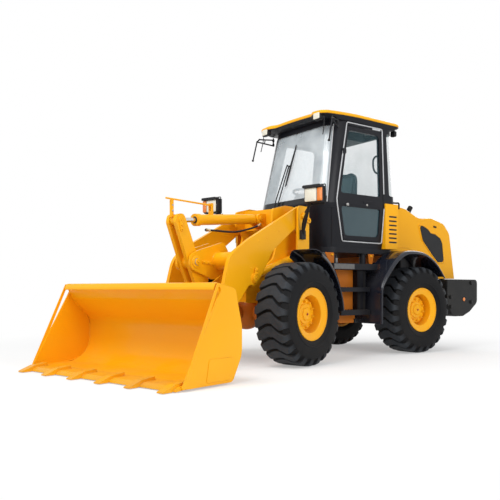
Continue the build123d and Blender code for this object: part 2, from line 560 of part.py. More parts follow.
def cab_solid(inset):
    """Cab volume set in from the outside by a distance."""
    return loft([cab_section(*row, inset) for row in CAB_SECTIONS], ruled=True)


cab_outside = cab_solid(0)
cab_shell = cab_outside - cab_solid(CAB_WALL)
glass_shell = cab_solid(14) - cab_solid(14 + GLASS)

door_rows = [
    (-134, CAB_TOP_Z - 40, 20), (75, 1850, 60), (75, 1800, 60), (-43, 1370, 60),
    (-708, 1365, 40), (-707, 1850, 200), (-741, CAB_TOP_Z - 40, 20),
]
upper_light_rows = [
    (-160, 2690, 60), (15, 1925, 30), (-655, 1925, 30), (-685, 2690, 60),
]
lower_light_rows = [(12, 1770, 30), (-80, 1430, 50), (-650, 1430, 50), (-650, 1770, 30)]
front_light_rows = [(12, 2735, 30), (190, 1815, 30), (500, 1815, 0), (500, 2735, 0)]
rear_light_rows = [(-1100, 1950, 0), (-1100, 2735, 0), (-820, 2735, 30), (-820, 1950, 30)]
front_light = side_plate(front_light_rows, -800, 800)
rear_light = side_plate(rear_light_rows, -800, 800)
door_hole = both_sides(side_plate(door_rows, 300, 800))
rear["cab_frame"] = cab_shell - front_light - rear_light - door_hole
rear["windshield"] = glass_shell & front_light
rear["rear_window"] = glass_shell & rear_light

with BuildSketch(Plane.XZ) as door_sketch:
    add(outline(door_rows))
    offset(amount=-DOOR_GAP, mode=Mode.REPLACE)
door_blank = Pos(0, 300, 0) * extrude(door_sketch.sketch, amount=500, dir=(0, 1, 0))
lights = side_plate(upper_light_rows, 300, 800) + side_plate(lower_light_rows, 300, 800)
left_door = (cab_shell & door_blank) - lights
strap_end = DOOR_HINGE[0] - STRAP_REACH
for level in KNUCKLE_LEVELS:
    top = level + KNUCKLE_LENGTH
    left_door += upright_rod(*DOOR_HINGE, KNUCKLE_RADIUS, level, top)
    left_door += block(strap_end, DOOR_HINGE[0], DOOR_HINGE[1] - KNUCKLE_RADIUS / 2,
                       DOOR_HINGE[1] + KNUCKLE_RADIUS / 2, level, top)
    left_door += block(strap_end, strap_end + STRAP_WIDTH, DOOR_HINGE[1] - STRAP_DEPTH,
                       DOOR_HINGE[1], level, top)
left_door_glass = glass_shell & lights
rear["left_door"] = left_door
rear["right_door"] = mirror(left_door, Plane.XZ)
rear["left_door_glass"] = left_door_glass
rear["right_door_glass"] = mirror(left_door_glass, Plane.XZ)

# ---- Cab floor, roof and fittings ---------------------------------------------------
CAB_BASE_Z = 1225.0
ROOF_FRAME_TOP = 2858.0
ROOF_TOP = 2892.0
POD_X = 305.0
floor_rows = [(CAB_REAR_X, -600, 110), (215, -600, 230), (215, 600, 230), (CAB_REAR_X, 600, 110)]
cab_floor = plan_plate(floor_rows, CAB_BASE_Z, CAB_FLOOR_Z)
for post_x in (70, -430):
    for side in (1, -1):
        cab_floor += upright_rod(post_x, side * 560, 38, 1091, CAB_BASE_Z)
rear["cab_floor"] = cab_floor
roof_rows = [
    (-1060, -600, 60), (-300, -625, 0), (240, -612, 30), (POD_X, -560, 30), (POD_X, -420, 30),
    (240, -330, 30), (240, 330, 30), (POD_X, 420, 30), (POD_X, 560, 30), (240, 612, 30),
    (-300, 625, 0), (-1060, 600, 60),
]
rear["roof_frame"] = plan_plate(roof_rows, CAB_TOP_Z, ROOF_FRAME_TOP)
rear["cab_roof"] = plan_plate(roof_rows, ROOF_FRAME_TOP, ROOF_TOP)
lamp = block(POD_X, POD_X + 14, 440, 545, 2800, 2850)
lamp += block(-1110, -1060, 440, 540, 2770, 2850)
rear["roof_lamps"] = both_sides(lamp)

# Louvred corner panels outside the cab's rear lower walls
panel = block(CAB_REAR_X, -727, 560, 664, CAB_FLOOR_Z, 1850) - cab_outside
rear["louvre_panels"] = both_sides(panel)

# Seat, steering column with wheel, console, ceiling duct
seat = block(-640, -180, -230, 230, 1640, 1760)
seat += Pos(-640, 0, 1740) * Rot(0, -10, 0) * Box(110, 440, 620, align=(Align.CENTER, Align.CENTER,
                                                                  Align.MIN))
seat += block(-560, -260, -170, 170, 1480, 1640)
seat += block(-590, -230, -200, 200, CAB_FLOOR_Z, 1480)
rear["operator_seat"] = seat
column = bar_between((80, 0, CAB_FLOOR_Z), (-40, 0, 1930), 45)
wheel_plane = Plane(origin=(-52, 0, 1990), z_dir=(-0.19, 0, 0.98))
column += wheel_plane * Torus(190, 14)
column += wheel_plane * Cylinder(45, 40)
column += wheel_plane * Box(30, 370, 12)
column += bar_between((-38, 0, 1920), (-52, 0, 1992), 30)
column -= block(0, 200, -100, 100, CAB_BASE_Z, CAB_FLOOR_Z)
rear["steering_column"] = column
rear["control_console"] = block(-560, -120, -430, -290, CAB_FLOOR_Z, 1880)
rear["ceiling_duct"] = block(-700, -120, -330, 330, 2660, CAB_TOP_Z)

# Mirror brackets: bent tubes down from the roof frame beside each door's front post
MIRROR_TUBE = 9.0
ARM_BALL = 12.0       # welded ball where the tubes meet
ARM_ROOT = (30, 607, 2765)
ARM_CORNER = (200, 690, 2765)
ARM_BEND = (222, 712, 2735)
STRUT_ROOT = (30, 607, 2690)
bracket = Pos(*ARM_ROOT) * Sphere(ARM_BALL)
for start, end in (
        ((30, 607, CAB_TOP_Z), STRUT_ROOT), (ARM_ROOT, ARM_CORNER), (ARM_CORNER, ARM_BEND),
        (STRUT_ROOT, ARM_BEND), (ARM_BEND, (280, 725, 2480))):
    bracket += bar_between(start, end, MIRROR_TUBE) + Pos(*end) * Sphere(ARM_BALL)
rear["mirror_brackets"] = both_sides(bracket)

# ---- Hood ---------------------------------------------------------------------------
HOOD_FRONT_X = -1030.0
HOOD_HINGE = (REAR_AXLE_X - 1265, 960.0)
HOOD_CORNER = 18.0
hood_rows = [(HOOD_FRONT_X, 1290, 0), (HOOD_FRONT_X, 1885, 0)] + at_axle([
    (-173, 1850, 200), (-443, 1740, 300), (-709, 1760, 300), (-971, 1700, 150),
    (-1100, 1573, 150), (-1215, 940, 0), (-515, 940, 60), (-335, 1290, 100),
], REAR_AXLE_X)
hood_inside_rows = [(HOOD_FRONT_X + 10, 1200, 0), (HOOD_FRONT_X + 10, 1866, 0)] + at_axle([
    (-169, 1830, 190), (-443, 1718, 300), (-705, 1738, 280), (-959, 1682, 130),
    (-1082, 1563, 130), (-1193, 900, 0), (-355, 900, 0), (-255, 1200, 0),
], REAR_AXLE_X)
hood_outside = side_plate(hood_rows, -HOOD_HALF_WIDTH, HOOD_HALF_WIDTH)
side_edges = hood_outside.faces().filter_by(Axis.Y).edges()
long_edges = [edge for edge in side_edges if (edge @ 0.5).X < HOOD_FRONT_X - 1 and (
    (edge @ 0.5).Z > 1600 or (edge @ 0.5).X < REAR_AXLE_X - 1055)]
hood_outside = fillet(long_edges, HOOD_CORNER)
hood = hood_outside - side_plate(hood_inside_rows, -HOOD_HALF_WIDTH + HOOD_SHEET,
                                 HOOD_HALF_WIDTH - HOOD_SHEET)
ear_rows = at_axle(
    [(-1295, 930, 25), (-1295, 985, 25), (-1185, 1010, 0), (-1195, 940, 0)], REAR_AXLE_X)
hood += both_sides(side_plate(ear_rows, 200, 220))
hood -= cross_rod(HOOD_HINGE, 12 + PIN_GAP, -300, 300)
rear["hood"] = hood
grille_rows = at_axle([
    (-455, 1648, 30), (-520, 1640, 30), (-628, 1598, 30), (-681, 1551, 30), (-777, 1540, 30),
    (-887, 1491, 60), (-929, 1423, 60), (-964, 1168, 40), (-833, 1165, 40), (-736, 1242, 30),
    (-521, 1449, 40),
], REAR_AXLE_X)
grilles = both_sides(side_plate(grille_rows, HOOD_HALF_WIDTH, HOOD_HALF_WIDTH + 6))
rear["hood_grilles"] = grilles
rear["exhaust_pipe"] = upright_rod(-1230, -260, 38, 1840, 2010) - hood_outside

# ---- Engine, counterweight ----------------------------------------------------------
engine = block(COUNTERWEIGHT_X + 10, -1080, -300, 300, RAIL_TOP - 60, 1540)
engine += block(COUNTERWEIGHT_X + 30, COUNTERWEIGHT_X + 130, -RAIL_INNER_Y, RAIL_INNER_Y, RAIL_TOP - 60, RAIL_TOP - 10)
engine += block(-1250, -1150, -RAIL_INNER_Y, RAIL_INNER_Y, RAIL_TOP - 60, RAIL_TOP - 10)
rear["engine_block"] = engine
TOW_PIN_RADIUS = 20.0
TOW_PIN_X = REAR_AXLE_X - 1285
TOW_SLOT_Z = 740.0
counterweight_rows = [(COUNTERWEIGHT_X, 925, 0), (COUNTERWEIGHT_X, 600, 80)] + at_axle([
    (-805, 430, 80), (-1025, 430, 60), (-1175, 488, 60), (-1345, 610, 80), (-1345, 925, 50),
], REAR_AXLE_X)
counterweight = side_plate(counterweight_rows, -750, 750)
counterweight += both_sides(block(HOOD_HINGE[0] - 30, HOOD_HINGE[0] + 25, 225, 245, 925, 985))
counterweight -= block(TOW_PIN_X - 70, TOW_PIN_X + 45, -50, 50, TOW_SLOT_Z - 40, TOW_SLOT_Z + 40)
counterweight -= upright_rod(TOW_PIN_X, 0, TOW_PIN_RADIUS, TOW_SLOT_Z - 110, 930)
counterweight += both_sides(cross_rod(HOOD_HINGE, 12, 185, 250))
rear["counterweight"] = counterweight

# ---- Fenders ------------------------------------------------------------------------
FENDER_OUTER_Y = 930.0
FENDER_SHEET = 10.0


def fender_section(profile, axle_x, y):
    """Side-view section of a bent sheet, its thickness towards the wheel's centre, at a y value."""
    inner = []
    for reach, z in profile:
        scale = 1 - FENDER_SHEET / math.hypot(reach, z - TYRE_RADIUS)
        inner.append((reach * scale, TYRE_RADIUS + (z - TYRE_RADIUS) * scale))
    rows = [(axle_x + reach, z, 0) for reach, z in profile + inner[::-1]]
    return outline(rows, Plane.XZ.offset(-y))


def arched_sheet(profiles, axle_x):
    """Sheet over a wheel through side profiles, each with its y value, in straight runs."""
    sheet = None
    for low, high in zip(profiles, profiles[1:]):
        run = loft([fender_section(low[1], axle_x, low[0]),
                    fender_section(high[1], axle_x, high[0])], ruled=True)
        sheet = run if sheet is None else sheet + run
    return sheet


FRONT_FENDER_ROWS = [  # crown x from the axle, crown z, rolled edge x from the axle, its z
    (-130, 1217, -130, 1140), (-262, 1165, -245, 1078), (-376, 1080, -333, 1005),
    (-448, 985, -421, 900), (-505, 860, -481, 800), (-541, 700, -533, 670),
    (-557, 558, -553, 558),
]
rear_profile = [  # x from the axle, z
    (777, 385), (776, 812), (711, 925), (610, 1054), (486, 1180), (326, 1262), (137, 1271),
    (-33, 1250), (-157, 1197), (-284, 1112), (-413, 957),
]
crown_profile = [(row[0], row[1]) for row in FRONT_FENDER_ROWS]
rolled_profile = [(row[2], row[3]) for row in FRONT_FENDER_ROWS]
front_fender = arched_sheet([
    (500, rolled_profile), (570, crown_profile), (800, crown_profile),
    (FENDER_OUTER_Y, rolled_profile)], FRONT_AXLE_X)
stay_front, stay_rear = rolled_profile[0], rolled_profile[1]
stay_low, stay_high = FRONT_AXLE_X + stay_rear[0], FRONT_AXLE_X + stay_front[0]
front_fender += block(stay_low, stay_high, TOWER_INNER_Y, 500, 900, 935)
front_fender += side_plate([
    (stay_low, 900, 0), (stay_high, 900, 0), (stay_high, stay_front[1], 0),
    (stay_low, stay_rear[1], 0)], 480, 500)
front["front_fenders"] = both_sides(front_fender)
rear_fender = arched_sheet([(490, rear_profile), (FENDER_OUTER_Y, rear_profile)], REAR_AXLE_X)
rear_fender -= block(-975, -600, 480, 612, 1180, 1300)
rear_fender += block(REAR_AXLE_X + 625, REAR_AXLE_X + 715, RAIL_OUTER_Y, 500, 930, 970)
rear_fender += block(REAR_AXLE_X - 55, REAR_AXLE_X - 5, RAIL_OUTER_Y, 500, 840, 1235)
rear["rear_fenders"] = both_sides(rear_fender)

# ---- Steps and tanks ----------------------------------------------------------------
STEP_OUTER_Y = 760.0
HANGER_Y = 600.0
platform_rows = [(245, 760, 20), (245, 570, 20), (120, 480, 20), (-480, 480, 0), (-480, 760, 0)]
hanger_rows = [
    (67, 1021, 0), (-14, 818, 0), (-20, 540, 0), (26, 478, 0), (10, 394, 20), (-240, 394, 20),
    (-212, 478, 0), (-212, 818, 0), (-296, 1021, 0),
]
platform = plan_plate(platform_rows, 1021, 1091)
platform += block(-490, -180, RAIL_OUTER_Y, 481, 1030, 1060)
tank = block(-350, -214, RAIL_OUTER_Y, 690, 493, 1016)
tank += block(-214, -40, RAIL_OUTER_Y, HANGER_Y - 10, 493, 1016)
treads = block(-350, 120, HANGER_Y + 10, STEP_OUTER_Y, 764, 814)
treads += block(-350, 120, HANGER_Y + 10, STEP_OUTER_Y, 491, 551)
hanger = side_plate(hanger_rows, HANGER_Y - 10, HANGER_Y + 10) - tank
rear["step_hangers"] = both_sides(hanger)
rear["access_steps"] = both_sides(platform + (treads - tank))
rear["side_tanks"] = both_sides(tank)

# ---- Headlamps on the tower ---------------------------------------------------------
headlamp = block(845, 940, 640, 816, 1718, 1888)
headlamp += block(860, 930, 816, 852, 1730, 1860)
lamp_foot_y = TOWER_OUTER_Y + PLATE
headlamp += bar_between((730, lamp_foot_y + 15, 1400), (880, 668, 1730), 16)
headlamp += block(690, 770, lamp_foot_y, lamp_foot_y + 32, 1350, 1450)
front["headlamps"] = both_sides(headlamp)

# ---- Hoses on the tilt cylinder -----------------------------------------------------


def hose(points, radius, bend):
    """Tube along straight runs joined by tangent arcs."""
    radii = []
    for before, corner, after in zip(points, points[1:], points[2:]):
        incoming = Vector(*corner) - Vector(*before)
        outgoing = Vector(*after) - Vector(*corner)
        half_turn = math.radians(incoming.get_angle(outgoing)) / 2
        radii.append(bend * min(incoming.length, outgoing.length) / math.tan(half_turn))
    with BuildLine() as path:
        FilletPolyline(*points, radius=radii)
    start = path.line @ 0
    plane = Plane(origin=start, z_dir=path.line % 0)
    with BuildSketch(plane) as disc:
        Circle(radius)
    print("bend radii", [round(value) for value in radii])
    return sweep(disc.sketch, path=path.line)


HOSE_RADIUS = 11.0
HOSE_BEND = 0.45
tilt_hose_points = [
    (1868, 62, 1398), (1780, 64, 1399), (1694, 66, 1402), (1580, 68, 1400), (1464, 70, 1403),
    (1375, 74, 1413), (1298, 80, 1430), (1220, 86, 1450), (1152, 92, 1468), (1080, 96, 1492),
    (1010, 98, 1520),
]
front["tilt_hose"] = hose(tilt_hose_points, HOSE_RADIUS, HOSE_BEND)

# ---- Placing and writing out --------------------------------------------------------
pieces = {}
for name, shape in rear.items():
    pieces[name] = shape
for name, shape in front.items():
    pieces[name] = Rot(0, 0, STEER_PARKED) * shape
box = Compound(children=[Compound(shape.solids()) for shape in pieces.values()]).bounding_box()
shift = Vector(-(box.min.X + box.max.X) / 2, -(box.min.Y + box.max.Y) / 2, -box.min.Z)
os.makedirs("parts", exist_ok=True)
for name, shape in pieces.items():
    placed = Pos(*shift) * Compound(shape.solids())
    export_step(placed, os.path.join("parts", name + ".step"))
print("size", box.size.X, box.size.Y, box.size.Z)
print("shift", shift.X, shift.Y, shift.Z)
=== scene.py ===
import json
import math

import bmesh
import bpy
import numpy as np
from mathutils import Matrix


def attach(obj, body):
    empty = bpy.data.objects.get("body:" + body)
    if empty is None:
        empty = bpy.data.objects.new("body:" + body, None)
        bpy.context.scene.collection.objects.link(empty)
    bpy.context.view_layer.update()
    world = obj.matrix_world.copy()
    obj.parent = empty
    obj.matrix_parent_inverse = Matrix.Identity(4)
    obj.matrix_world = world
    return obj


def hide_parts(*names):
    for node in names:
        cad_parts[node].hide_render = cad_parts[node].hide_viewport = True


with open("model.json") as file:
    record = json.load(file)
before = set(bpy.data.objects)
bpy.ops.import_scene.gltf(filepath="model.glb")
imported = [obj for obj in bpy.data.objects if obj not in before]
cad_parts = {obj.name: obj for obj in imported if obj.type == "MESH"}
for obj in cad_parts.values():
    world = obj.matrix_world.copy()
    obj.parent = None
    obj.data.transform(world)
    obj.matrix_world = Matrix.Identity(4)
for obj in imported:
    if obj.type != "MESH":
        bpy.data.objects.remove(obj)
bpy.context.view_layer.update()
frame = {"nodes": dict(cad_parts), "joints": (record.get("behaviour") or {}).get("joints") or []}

# ---- Standing place of the machine -----------------------------------------------------
# The loader stands on a plain pale studio floor with its front half turned to the left.
# Drawing sizes below are millimetres of its two halves; these two functions stand them up.
joint_named = {joint["name"]: joint for joint in frame["joints"]}
hitch_x, hitch_y = joint_named["steer"]["pos_m"][:2]
pitch_axis = joint_named["boom_lift"]["axis"]
parked_turn = math.atan2(pitch_axis[0], -pitch_axis[1])


def rear_half(points, side=1):
    """Millimetres (forward, left, up) from the steering hinge to metres where the rear half stands.
    Points drawn for the left go to the right with side -1."""
    points = np.asarray(points, float) * (1, side, 1) / 1000
    return points + np.array([hitch_x, hitch_y, 0.0])


def front_half(points, side=1):
    """The same for the front half, turned about the steering hinge by the parked angle."""
    points = np.asarray(points, float) * (1, side, 1) / 1000
    cos, sin = math.cos(parked_turn), math.sin(parked_turn)
    ahead, left, up = points[..., 0], points[..., 1], points[..., 2]
    return np.stack([hitch_x + cos * ahead - sin * left, hitch_y + sin * ahead + cos * left, up], -1)


def wired(tree, kind, **settings):
    """New shader node with its properties and input values set; an input given a socket or node is linked."""
    node = tree.nodes.new(kind)
    for key, value in settings.items():
        if key.startswith("in_"):
            name = key[3:]
            socket = node.inputs[int(name)] if name.isdigit() else node.inputs[name.replace("_", " ")]
            if isinstance(value, bpy.types.Node):
                value = value.outputs[0]
            if isinstance(value, bpy.types.NodeSocket):
                tree.links.new(value, socket)
            else:
                socket.default_value = value
        else:
            setattr(node, key, value)
    return node


def ranged(tree, value, low, high, at_low=0.0, at_high=1.0):
    """Number carried evenly from one range to another and held at its ends."""
    return wired(tree, "ShaderNodeMapRange", in_0=value, in_1=low, in_2=high, in_3=at_low, in_4=at_high)


def product(tree, one, other):
    """Two numbers multiplied."""
    return wired(tree, "ShaderNodeMath", operation="MULTIPLY", in_0=one, in_1=other)


def seen_straight(tree):
    """1 for rays from the eye, through glass or off a gloss surface, and 0 for plain lighting."""
    seen = wired(tree, "ShaderNodeLightPath").outputs
    direct = wired(tree, "ShaderNodeMath", operation="MAXIMUM", in_0=seen["Is Camera Ray"],
                   in_1=seen["Is Transmission Ray"])
    return wired(tree, "ShaderNodeMath", operation="MAXIMUM", in_0=direct, in_1=seen["Is Glossy Ray"])


def object_place(tree):
    """Place of a point in its object's own axes."""
    return wired(tree, "ShaderNodeTexCoord").outputs["Object"]


scene = bpy.context.scene
scene.view_settings.view_transform = "Standard"
camera = bpy.data.objects.new("view_camera", bpy.data.cameras.new("view_camera"))
scene.collection.objects.link(camera)
camera.location = (4.7989, 5.6162, 0.7936)
camera.rotation_euler = (math.radians(90), 0, math.radians(143.78))
camera.data.sensor_width = 36
camera.data.lens = 46.08
camera.data.shift_y = 0.0784
camera.data.clip_end = 200
scene.camera = camera

LAMPS = [  # name, place, aims at, size, watts
    ("key_lamp", (5.0, 1.5, 6.5), (0.3, -0.2, 1.0), 4.0, 335),
    ("left_lamp", (0.0, 7.5, 4.0), (-0.4, 0.0, 1.2), 4.0, 205),
    ("back_lamp", (-6.5, -3.0, 5.0), (0.0, 0.0, 1.2), 4.0, 200),
]
for name, place, aim, size, watts in LAMPS:
    lamp_data = bpy.data.lights.new(name, "AREA")
    lamp_data.shape = "DISK"
    lamp_data.size = size
    lamp_data.energy = watts
    lamp = bpy.data.objects.new(name, lamp_data)
    lamp.location = place
    way = np.array(aim, float) - np.array(place, float)
    lamp.rotation_euler = (math.acos(-way[2] / np.linalg.norm(way)), 0,
                           math.atan2(way[1], way[0]) - math.pi / 2)
    scene.collection.objects.link(lamp)

world = bpy.data.worlds.new("studio")
world.use_nodes = True
scene.world = world
sky = world.node_tree
sky.nodes.clear()
level = ranged(sky, seen_straight(sky), 0.0, 1.0, 0.55, 1.0)
air = wired(sky, "ShaderNodeBackground", in_Color=(1, 1, 1, 1), in_Strength=level)
wired(sky, "ShaderNodeOutputWorld", in_Surface=air)

floor_mesh = bpy.data.meshes.new("studio_floor")
FLOOR_RADIUS, FLOOR_SIDES = 30, 96
around = np.linspace(0, 2 * math.pi, FLOOR_SIDES, endpoint=False)
floor_edge = FLOOR_RADIUS * np.stack([np.cos(around), np.sin(around), 0 * around], 1)
floor_mesh.from_pydata(floor_edge.tolist(), [], [list(range(FLOOR_SIDES))])
studio_floor = bpy.data.objects.new("studio_floor", floor_mesh)
scene.collection.objects.link(studio_floor)
floor_finish = bpy.data.materials.new("studio_floor")
floor_finish.use_nodes = True
tree = floor_finish.node_tree
tree.nodes.clear()
shiny = seen_straight(tree)
from_middle = wired(tree, "ShaderNodeVectorMath", operation="LENGTH", in_0=object_place(tree))
paler = wired(tree, "ShaderNodeMapRange", interpolation_type="SMOOTHSTEP", in_0=from_middle.outputs["Value"],
              in_1=1.5, in_2=6.0, in_3=0.35, in_4=1.0)
share = product(tree, shiny, paler)
matte = wired(tree, "ShaderNodeBsdfDiffuse", in_Color=(0.9, 0.9, 0.9, 1))
white = wired(tree, "ShaderNodeEmission", in_Color=(1, 1, 1, 1), in_Strength=1.0)
both = wired(tree, "ShaderNodeMixShader", in_0=share, in_1=matte, in_2=white)
wired(tree, "ShaderNodeOutputMaterial", in_Surface=both)
floor_mesh.materials.append(floor_finish)

# ---- Hose to the tilt cylinder ------------------------------------------------------------
# Two-wire hydraulic hose, 22 mm outside, black rubber cover with a wrapped cloth mark.
# It runs back from a pipe under the cylinder's gland, level at first, and climbs to the tower.
HOSE_ROUTE = [
    (1868, 62, 1398), (1780, 64, 1399), (1694, 66, 1402), (1580, 68, 1400), (1464, 70, 1403),
    (1375, 74, 1413), (1298, 80, 1430), (1220, 86, 1450), (1152, 92, 1468), (1080, 96, 1492),
    (1010, 98, 1520),
]
HOSE_RADIUS = 0.011


def grid_quads(rows, columns, start, close_rows, close_columns):
    """Quads between neighbouring points of a grid, numbered from start; a closed direction joins its ends."""
    row, column = np.meshgrid(np.arange(rows if close_rows else rows - 1),
                              np.arange(columns if close_columns else columns - 1), indexing="ij")
    next_row, next_column = (row + 1) % rows, (column + 1) % columns
    quads = [row * columns + column, row * columns + next_column, next_row * columns + next_column,
             next_row * columns + column]
    return start + np.stack(quads, -1).reshape(-1, 4)


def skin(name, sheets, crease=35.0):
    """Object made of grids of points in metres, rows x columns x 3, each alone or as (grid, kind).
    A grid alone is rings closed by a flat face at each end; a ring closes both ways; a sheet is open."""
    points, faces, start = [], [], 0
    for sheet in sheets:
        grid, kind = sheet if isinstance(sheet, tuple) else (sheet, "capped")
        rows, columns = grid.shape[:2]
        faces += grid_quads(rows, columns, start, kind == "ring", kind != "sheet").tolist()
        if kind == "capped":
            faces.append(list(range(start, start + columns)))
            faces.append(list(range(start + rows * columns - 1, start + (rows - 1) * columns - 1, -1)))
        points.append(grid.reshape(-1, 3))
        start += rows * columns
    mesh = bpy.data.meshes.new(name)
    mesh.from_pydata(np.concatenate(points).tolist(), [], faces)
    turned = bmesh.new()
    turned.from_mesh(mesh)
    bmesh.ops.recalc_face_normals(turned, faces=turned.faces)
    turned.to_mesh(mesh)
    turned.free()
    mesh.shade_smooth()
    mesh.set_sharp_from_angle(angle=math.radians(crease))
    piece = bpy.data.objects.new(name, mesh)
    scene.collection.objects.link(piece)
    return piece


def fitted(piece, body, finish, replaced=()):
    """Gives a finished piece its material, fixes it to its body and hides the CAD nodes it replaces."""
    piece.data.materials.append(finish)
    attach(piece, body)
    if replaced:
        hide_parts(*replaced)
    return piece


def unit(vector):
    """Vectors of length one, along the last axis."""
    vector = np.asarray(vector, float)
    return vector / np.linalg.norm(vector, axis=-1, keepdims=True)


def turning(profile, centre, axis, sides=24):
    """Surface of revolution: each row (radius, height) is a ring of that radius, that far along the axis."""
    profile = np.asarray(profile, float)
    axis = unit(axis)
    across = unit(np.cross(axis, [0.31, 0.52, 0.79]))
    other = np.cross(axis, across)
    angle = np.linspace(0, 2 * math.pi, sides, endpoint=False)
    ring = np.cos(angle)[:, None] * across + np.sin(angle)[:, None] * other
    return np.asarray(centre, float) + profile[:, 1, None, None] * axis + profile[:, 0, None, None] * ring


def group(name, inputs, outputs):
    """Empty shader node group with named sockets; returns its tree, input sockets and output node."""
    tree = bpy.data.node_groups.new(name, "ShaderNodeTree")
    for socket_name, kind, value in inputs:
        socket = tree.interface.new_socket(name=socket_name, in_out="INPUT", socket_type=kind)
        socket.default_value = value
    for socket_name, kind in outputs:
        tree.interface.new_socket(name=socket_name, in_out="OUTPUT", socket_type=kind)
    return tree, tree.nodes.new("NodeGroupInput").outputs, tree.nodes.new("NodeGroupOutput").inputs


def noise(tree, place, scale, detail):
    """Cloudy noise of a given scale and number of octaves."""
    return wired(tree, "ShaderNodeTexNoise", in_Vector=place, in_Scale=scale, in_Detail=detail)


def blended(tree, share, first, second):
    """Colour between two colours by a share from 0 to 1."""
    return wired(tree, "ShaderNodeMix", data_type="RGBA", in_0=share, in_6=first, in_7=second).outputs[2]


NUMBER, COLOUR = "NodeSocketFloat", "NodeSocketColor"
dust, given, put = group("road_dust", [("Color", COLOUR, (0, 0, 0, 1)), ("Roughness", NUMBER, 0.4),
                                       ("Amount", NUMBER, 0.3)], [("Color", COLOUR), ("Roughness", NUMBER)])
place = object_place(dust)
patches = wired(dust, "ShaderNodeTexNoise", in_Vector=place, in_Scale=2.3, in_Detail=6.0, in_Roughness=0.62)
height = wired(dust, "ShaderNodeSeparateXYZ", in_0=place).outputs["Z"]
low_down = ranged(dust, height, 1.1, 0.0, 0.15, 1.0)
facing = wired(dust, "ShaderNodeSeparateXYZ", in_0=wired(dust, "ShaderNodeNewGeometry").outputs["Normal"])
upward = ranged(dust, facing.outputs["Z"], 0.2, 1.0, 0.25, 1.0)
where = ranged(dust, patches, 0.38, 0.72)
cover = product(dust, low_down, upward)
cover = product(dust, cover, where)
cover = product(dust, cover, given["Amount"])
mixed = blended(dust, cover, given["Color"], (0.32, 0.27, 0.2, 1))
dust.links.new(mixed, put["Color"])
rougher = wired(dust, "ShaderNodeMix", in_0=cover, in_2=given["Roughness"], in_3=0.9)
dust.links.new(rougher.outputs[0], put["Roughness"])


def dressed(name, colour, roughness, metallic=0.0, coat=0.0, specular=0.15, alpha=1.0):
    """Material with a Principled shader set to plain values; returns material, tree and shader."""
    finish = bpy.data.materials.new(name)
    finish.use_nodes = True
    tree = finish.node_tree
    shader = tree.nodes["Principled BSDF"]
    shader.inputs["Base Color"].default_value = (*colour, 1)
    shader.inputs["Roughness"].default_value = roughness
    shader.inputs["Metallic"].default_value = metallic
    shader.inputs["Coat Weight"].default_value = coat
    shader.inputs["Coat Roughness"].default_value = 0.08
    shader.inputs["Specular IOR Level"].default_value = specular
    shader.inputs["Alpha"].default_value = alpha
    return finish, tree, shader


def dusted(tree, shader, colour, roughness, amount):
    """Lays road dust over a colour and roughness, and links both to the shader."""
    settled = wired(tree, "ShaderNodeGroup", node_tree=dust, in_Color=colour, in_Roughness=roughness,
                    in_Amount=amount)
    tree.links.new(settled.outputs["Color"], shader.inputs["Base Color"])
    tree.links.new(settled.outputs["Roughness"], shader.inputs["Roughness"])


def bumped(tree, shader, height, strength, distance, **under):
    """Tilts the shader's normal by the slope of a height, over a distance in metres."""
    relief = wired(tree, "ShaderNodeBump", in_Strength=strength, in_Distance=distance, in_Height=height,
                   **under)
    tree.links.new(relief.outputs[0], shader.inputs["Normal"])


hose_rubber, tree, shader = dressed("hose_rubber", (0.016, 0.016, 0.018), 0.42)
place = object_place(tree)
wrap = wired(tree, "ShaderNodeTexWave", wave_type="BANDS", in_Vector=place, in_Scale=55.0, in_Distortion=0.6,
             in_Detail=1.0)
tone = blended(tree, wrap.outputs["Fac"], (0.01, 0.01, 0.012, 1), (0.03, 0.03, 0.034, 1))
dusted(tree, shader, tone, 0.42, 0.35)
bumped(tree, shader, wrap.outputs["Fac"], 0.3, 0.0008)

hose_curve = bpy.data.curves.new("tilt_hose_line", "CURVE")
hose_curve.dimensions = "3D"
hose_line = hose_curve.splines.new("NURBS")
hose_line.points.add(len(HOSE_ROUTE) - 1)
hose_ends = front_half(HOSE_ROUTE)
for point, place in zip(hose_line.points, hose_ends):
    point.co = (*place, 1)
hose_line.order_u = 3
hose_line.use_endpoint_u = True
hose_curve.resolution_u = 12
hose_curve.bevel_depth = HOSE_RADIUS
hose_curve.bevel_resolution = 5
hose_curve.use_fill_caps = True
tilt_hose = bpy.data.objects.new("tilt_hose_line", hose_curve)
scene.collection.objects.link(tilt_hose)
fitted(tilt_hose, "tilt_barrel", hose_rubber, ["tilt_hose"])


def clouded(name, colour, roughness, scale, detail, dark, pale, grime, **plain):
    """Material whose colour drifts between a dark and a pale tone in clouds, under road dust."""
    finish, tree, shader = dressed(name, colour, roughness, **plain)
    cloud = noise(tree, object_place(tree), scale, detail)
    dusted(tree, shader, blended(tree, cloud, (*dark, 1), (*pale, 1)), roughness, grime)
    return finish


brass = clouded("zinc_fitting", (0.55, 0.46, 0.26), 0.3, 60.0, 4.0, (0.42, 0.34, 0.17), (0.75, 0.68, 0.5),
                0.4, metallic=1.0)
FITTING = np.array([  # radius, distance along the hose, of a crimped ferrule and its nut
    (11, -2), (14.5, 0), (14.5, 9), (13.4, 11), (14.5, 13), (14.5, 22), (13.4, 24), (14.5, 26),
    (14.5, 34), (12, 37), (12, 40), (17, 41), (17, 56), (11, 58), (11, 62),
]) / 1000
sheets = []
for end, inner in ((hose_ends[0], hose_ends[1]), (hose_ends[-1], hose_ends[-2])):
    along = unit(inner - end)
    rows = np.stack([FITTING[:, 0], 0.064 - FITTING[:, 1]], 1)[::-1]
    sheets.append(turning(rows, end, along, 12))
hose_fittings = skin("tilt_hose_fittings", sheets, 30)
fitted(hose_fittings, "tilt_barrel", brass)
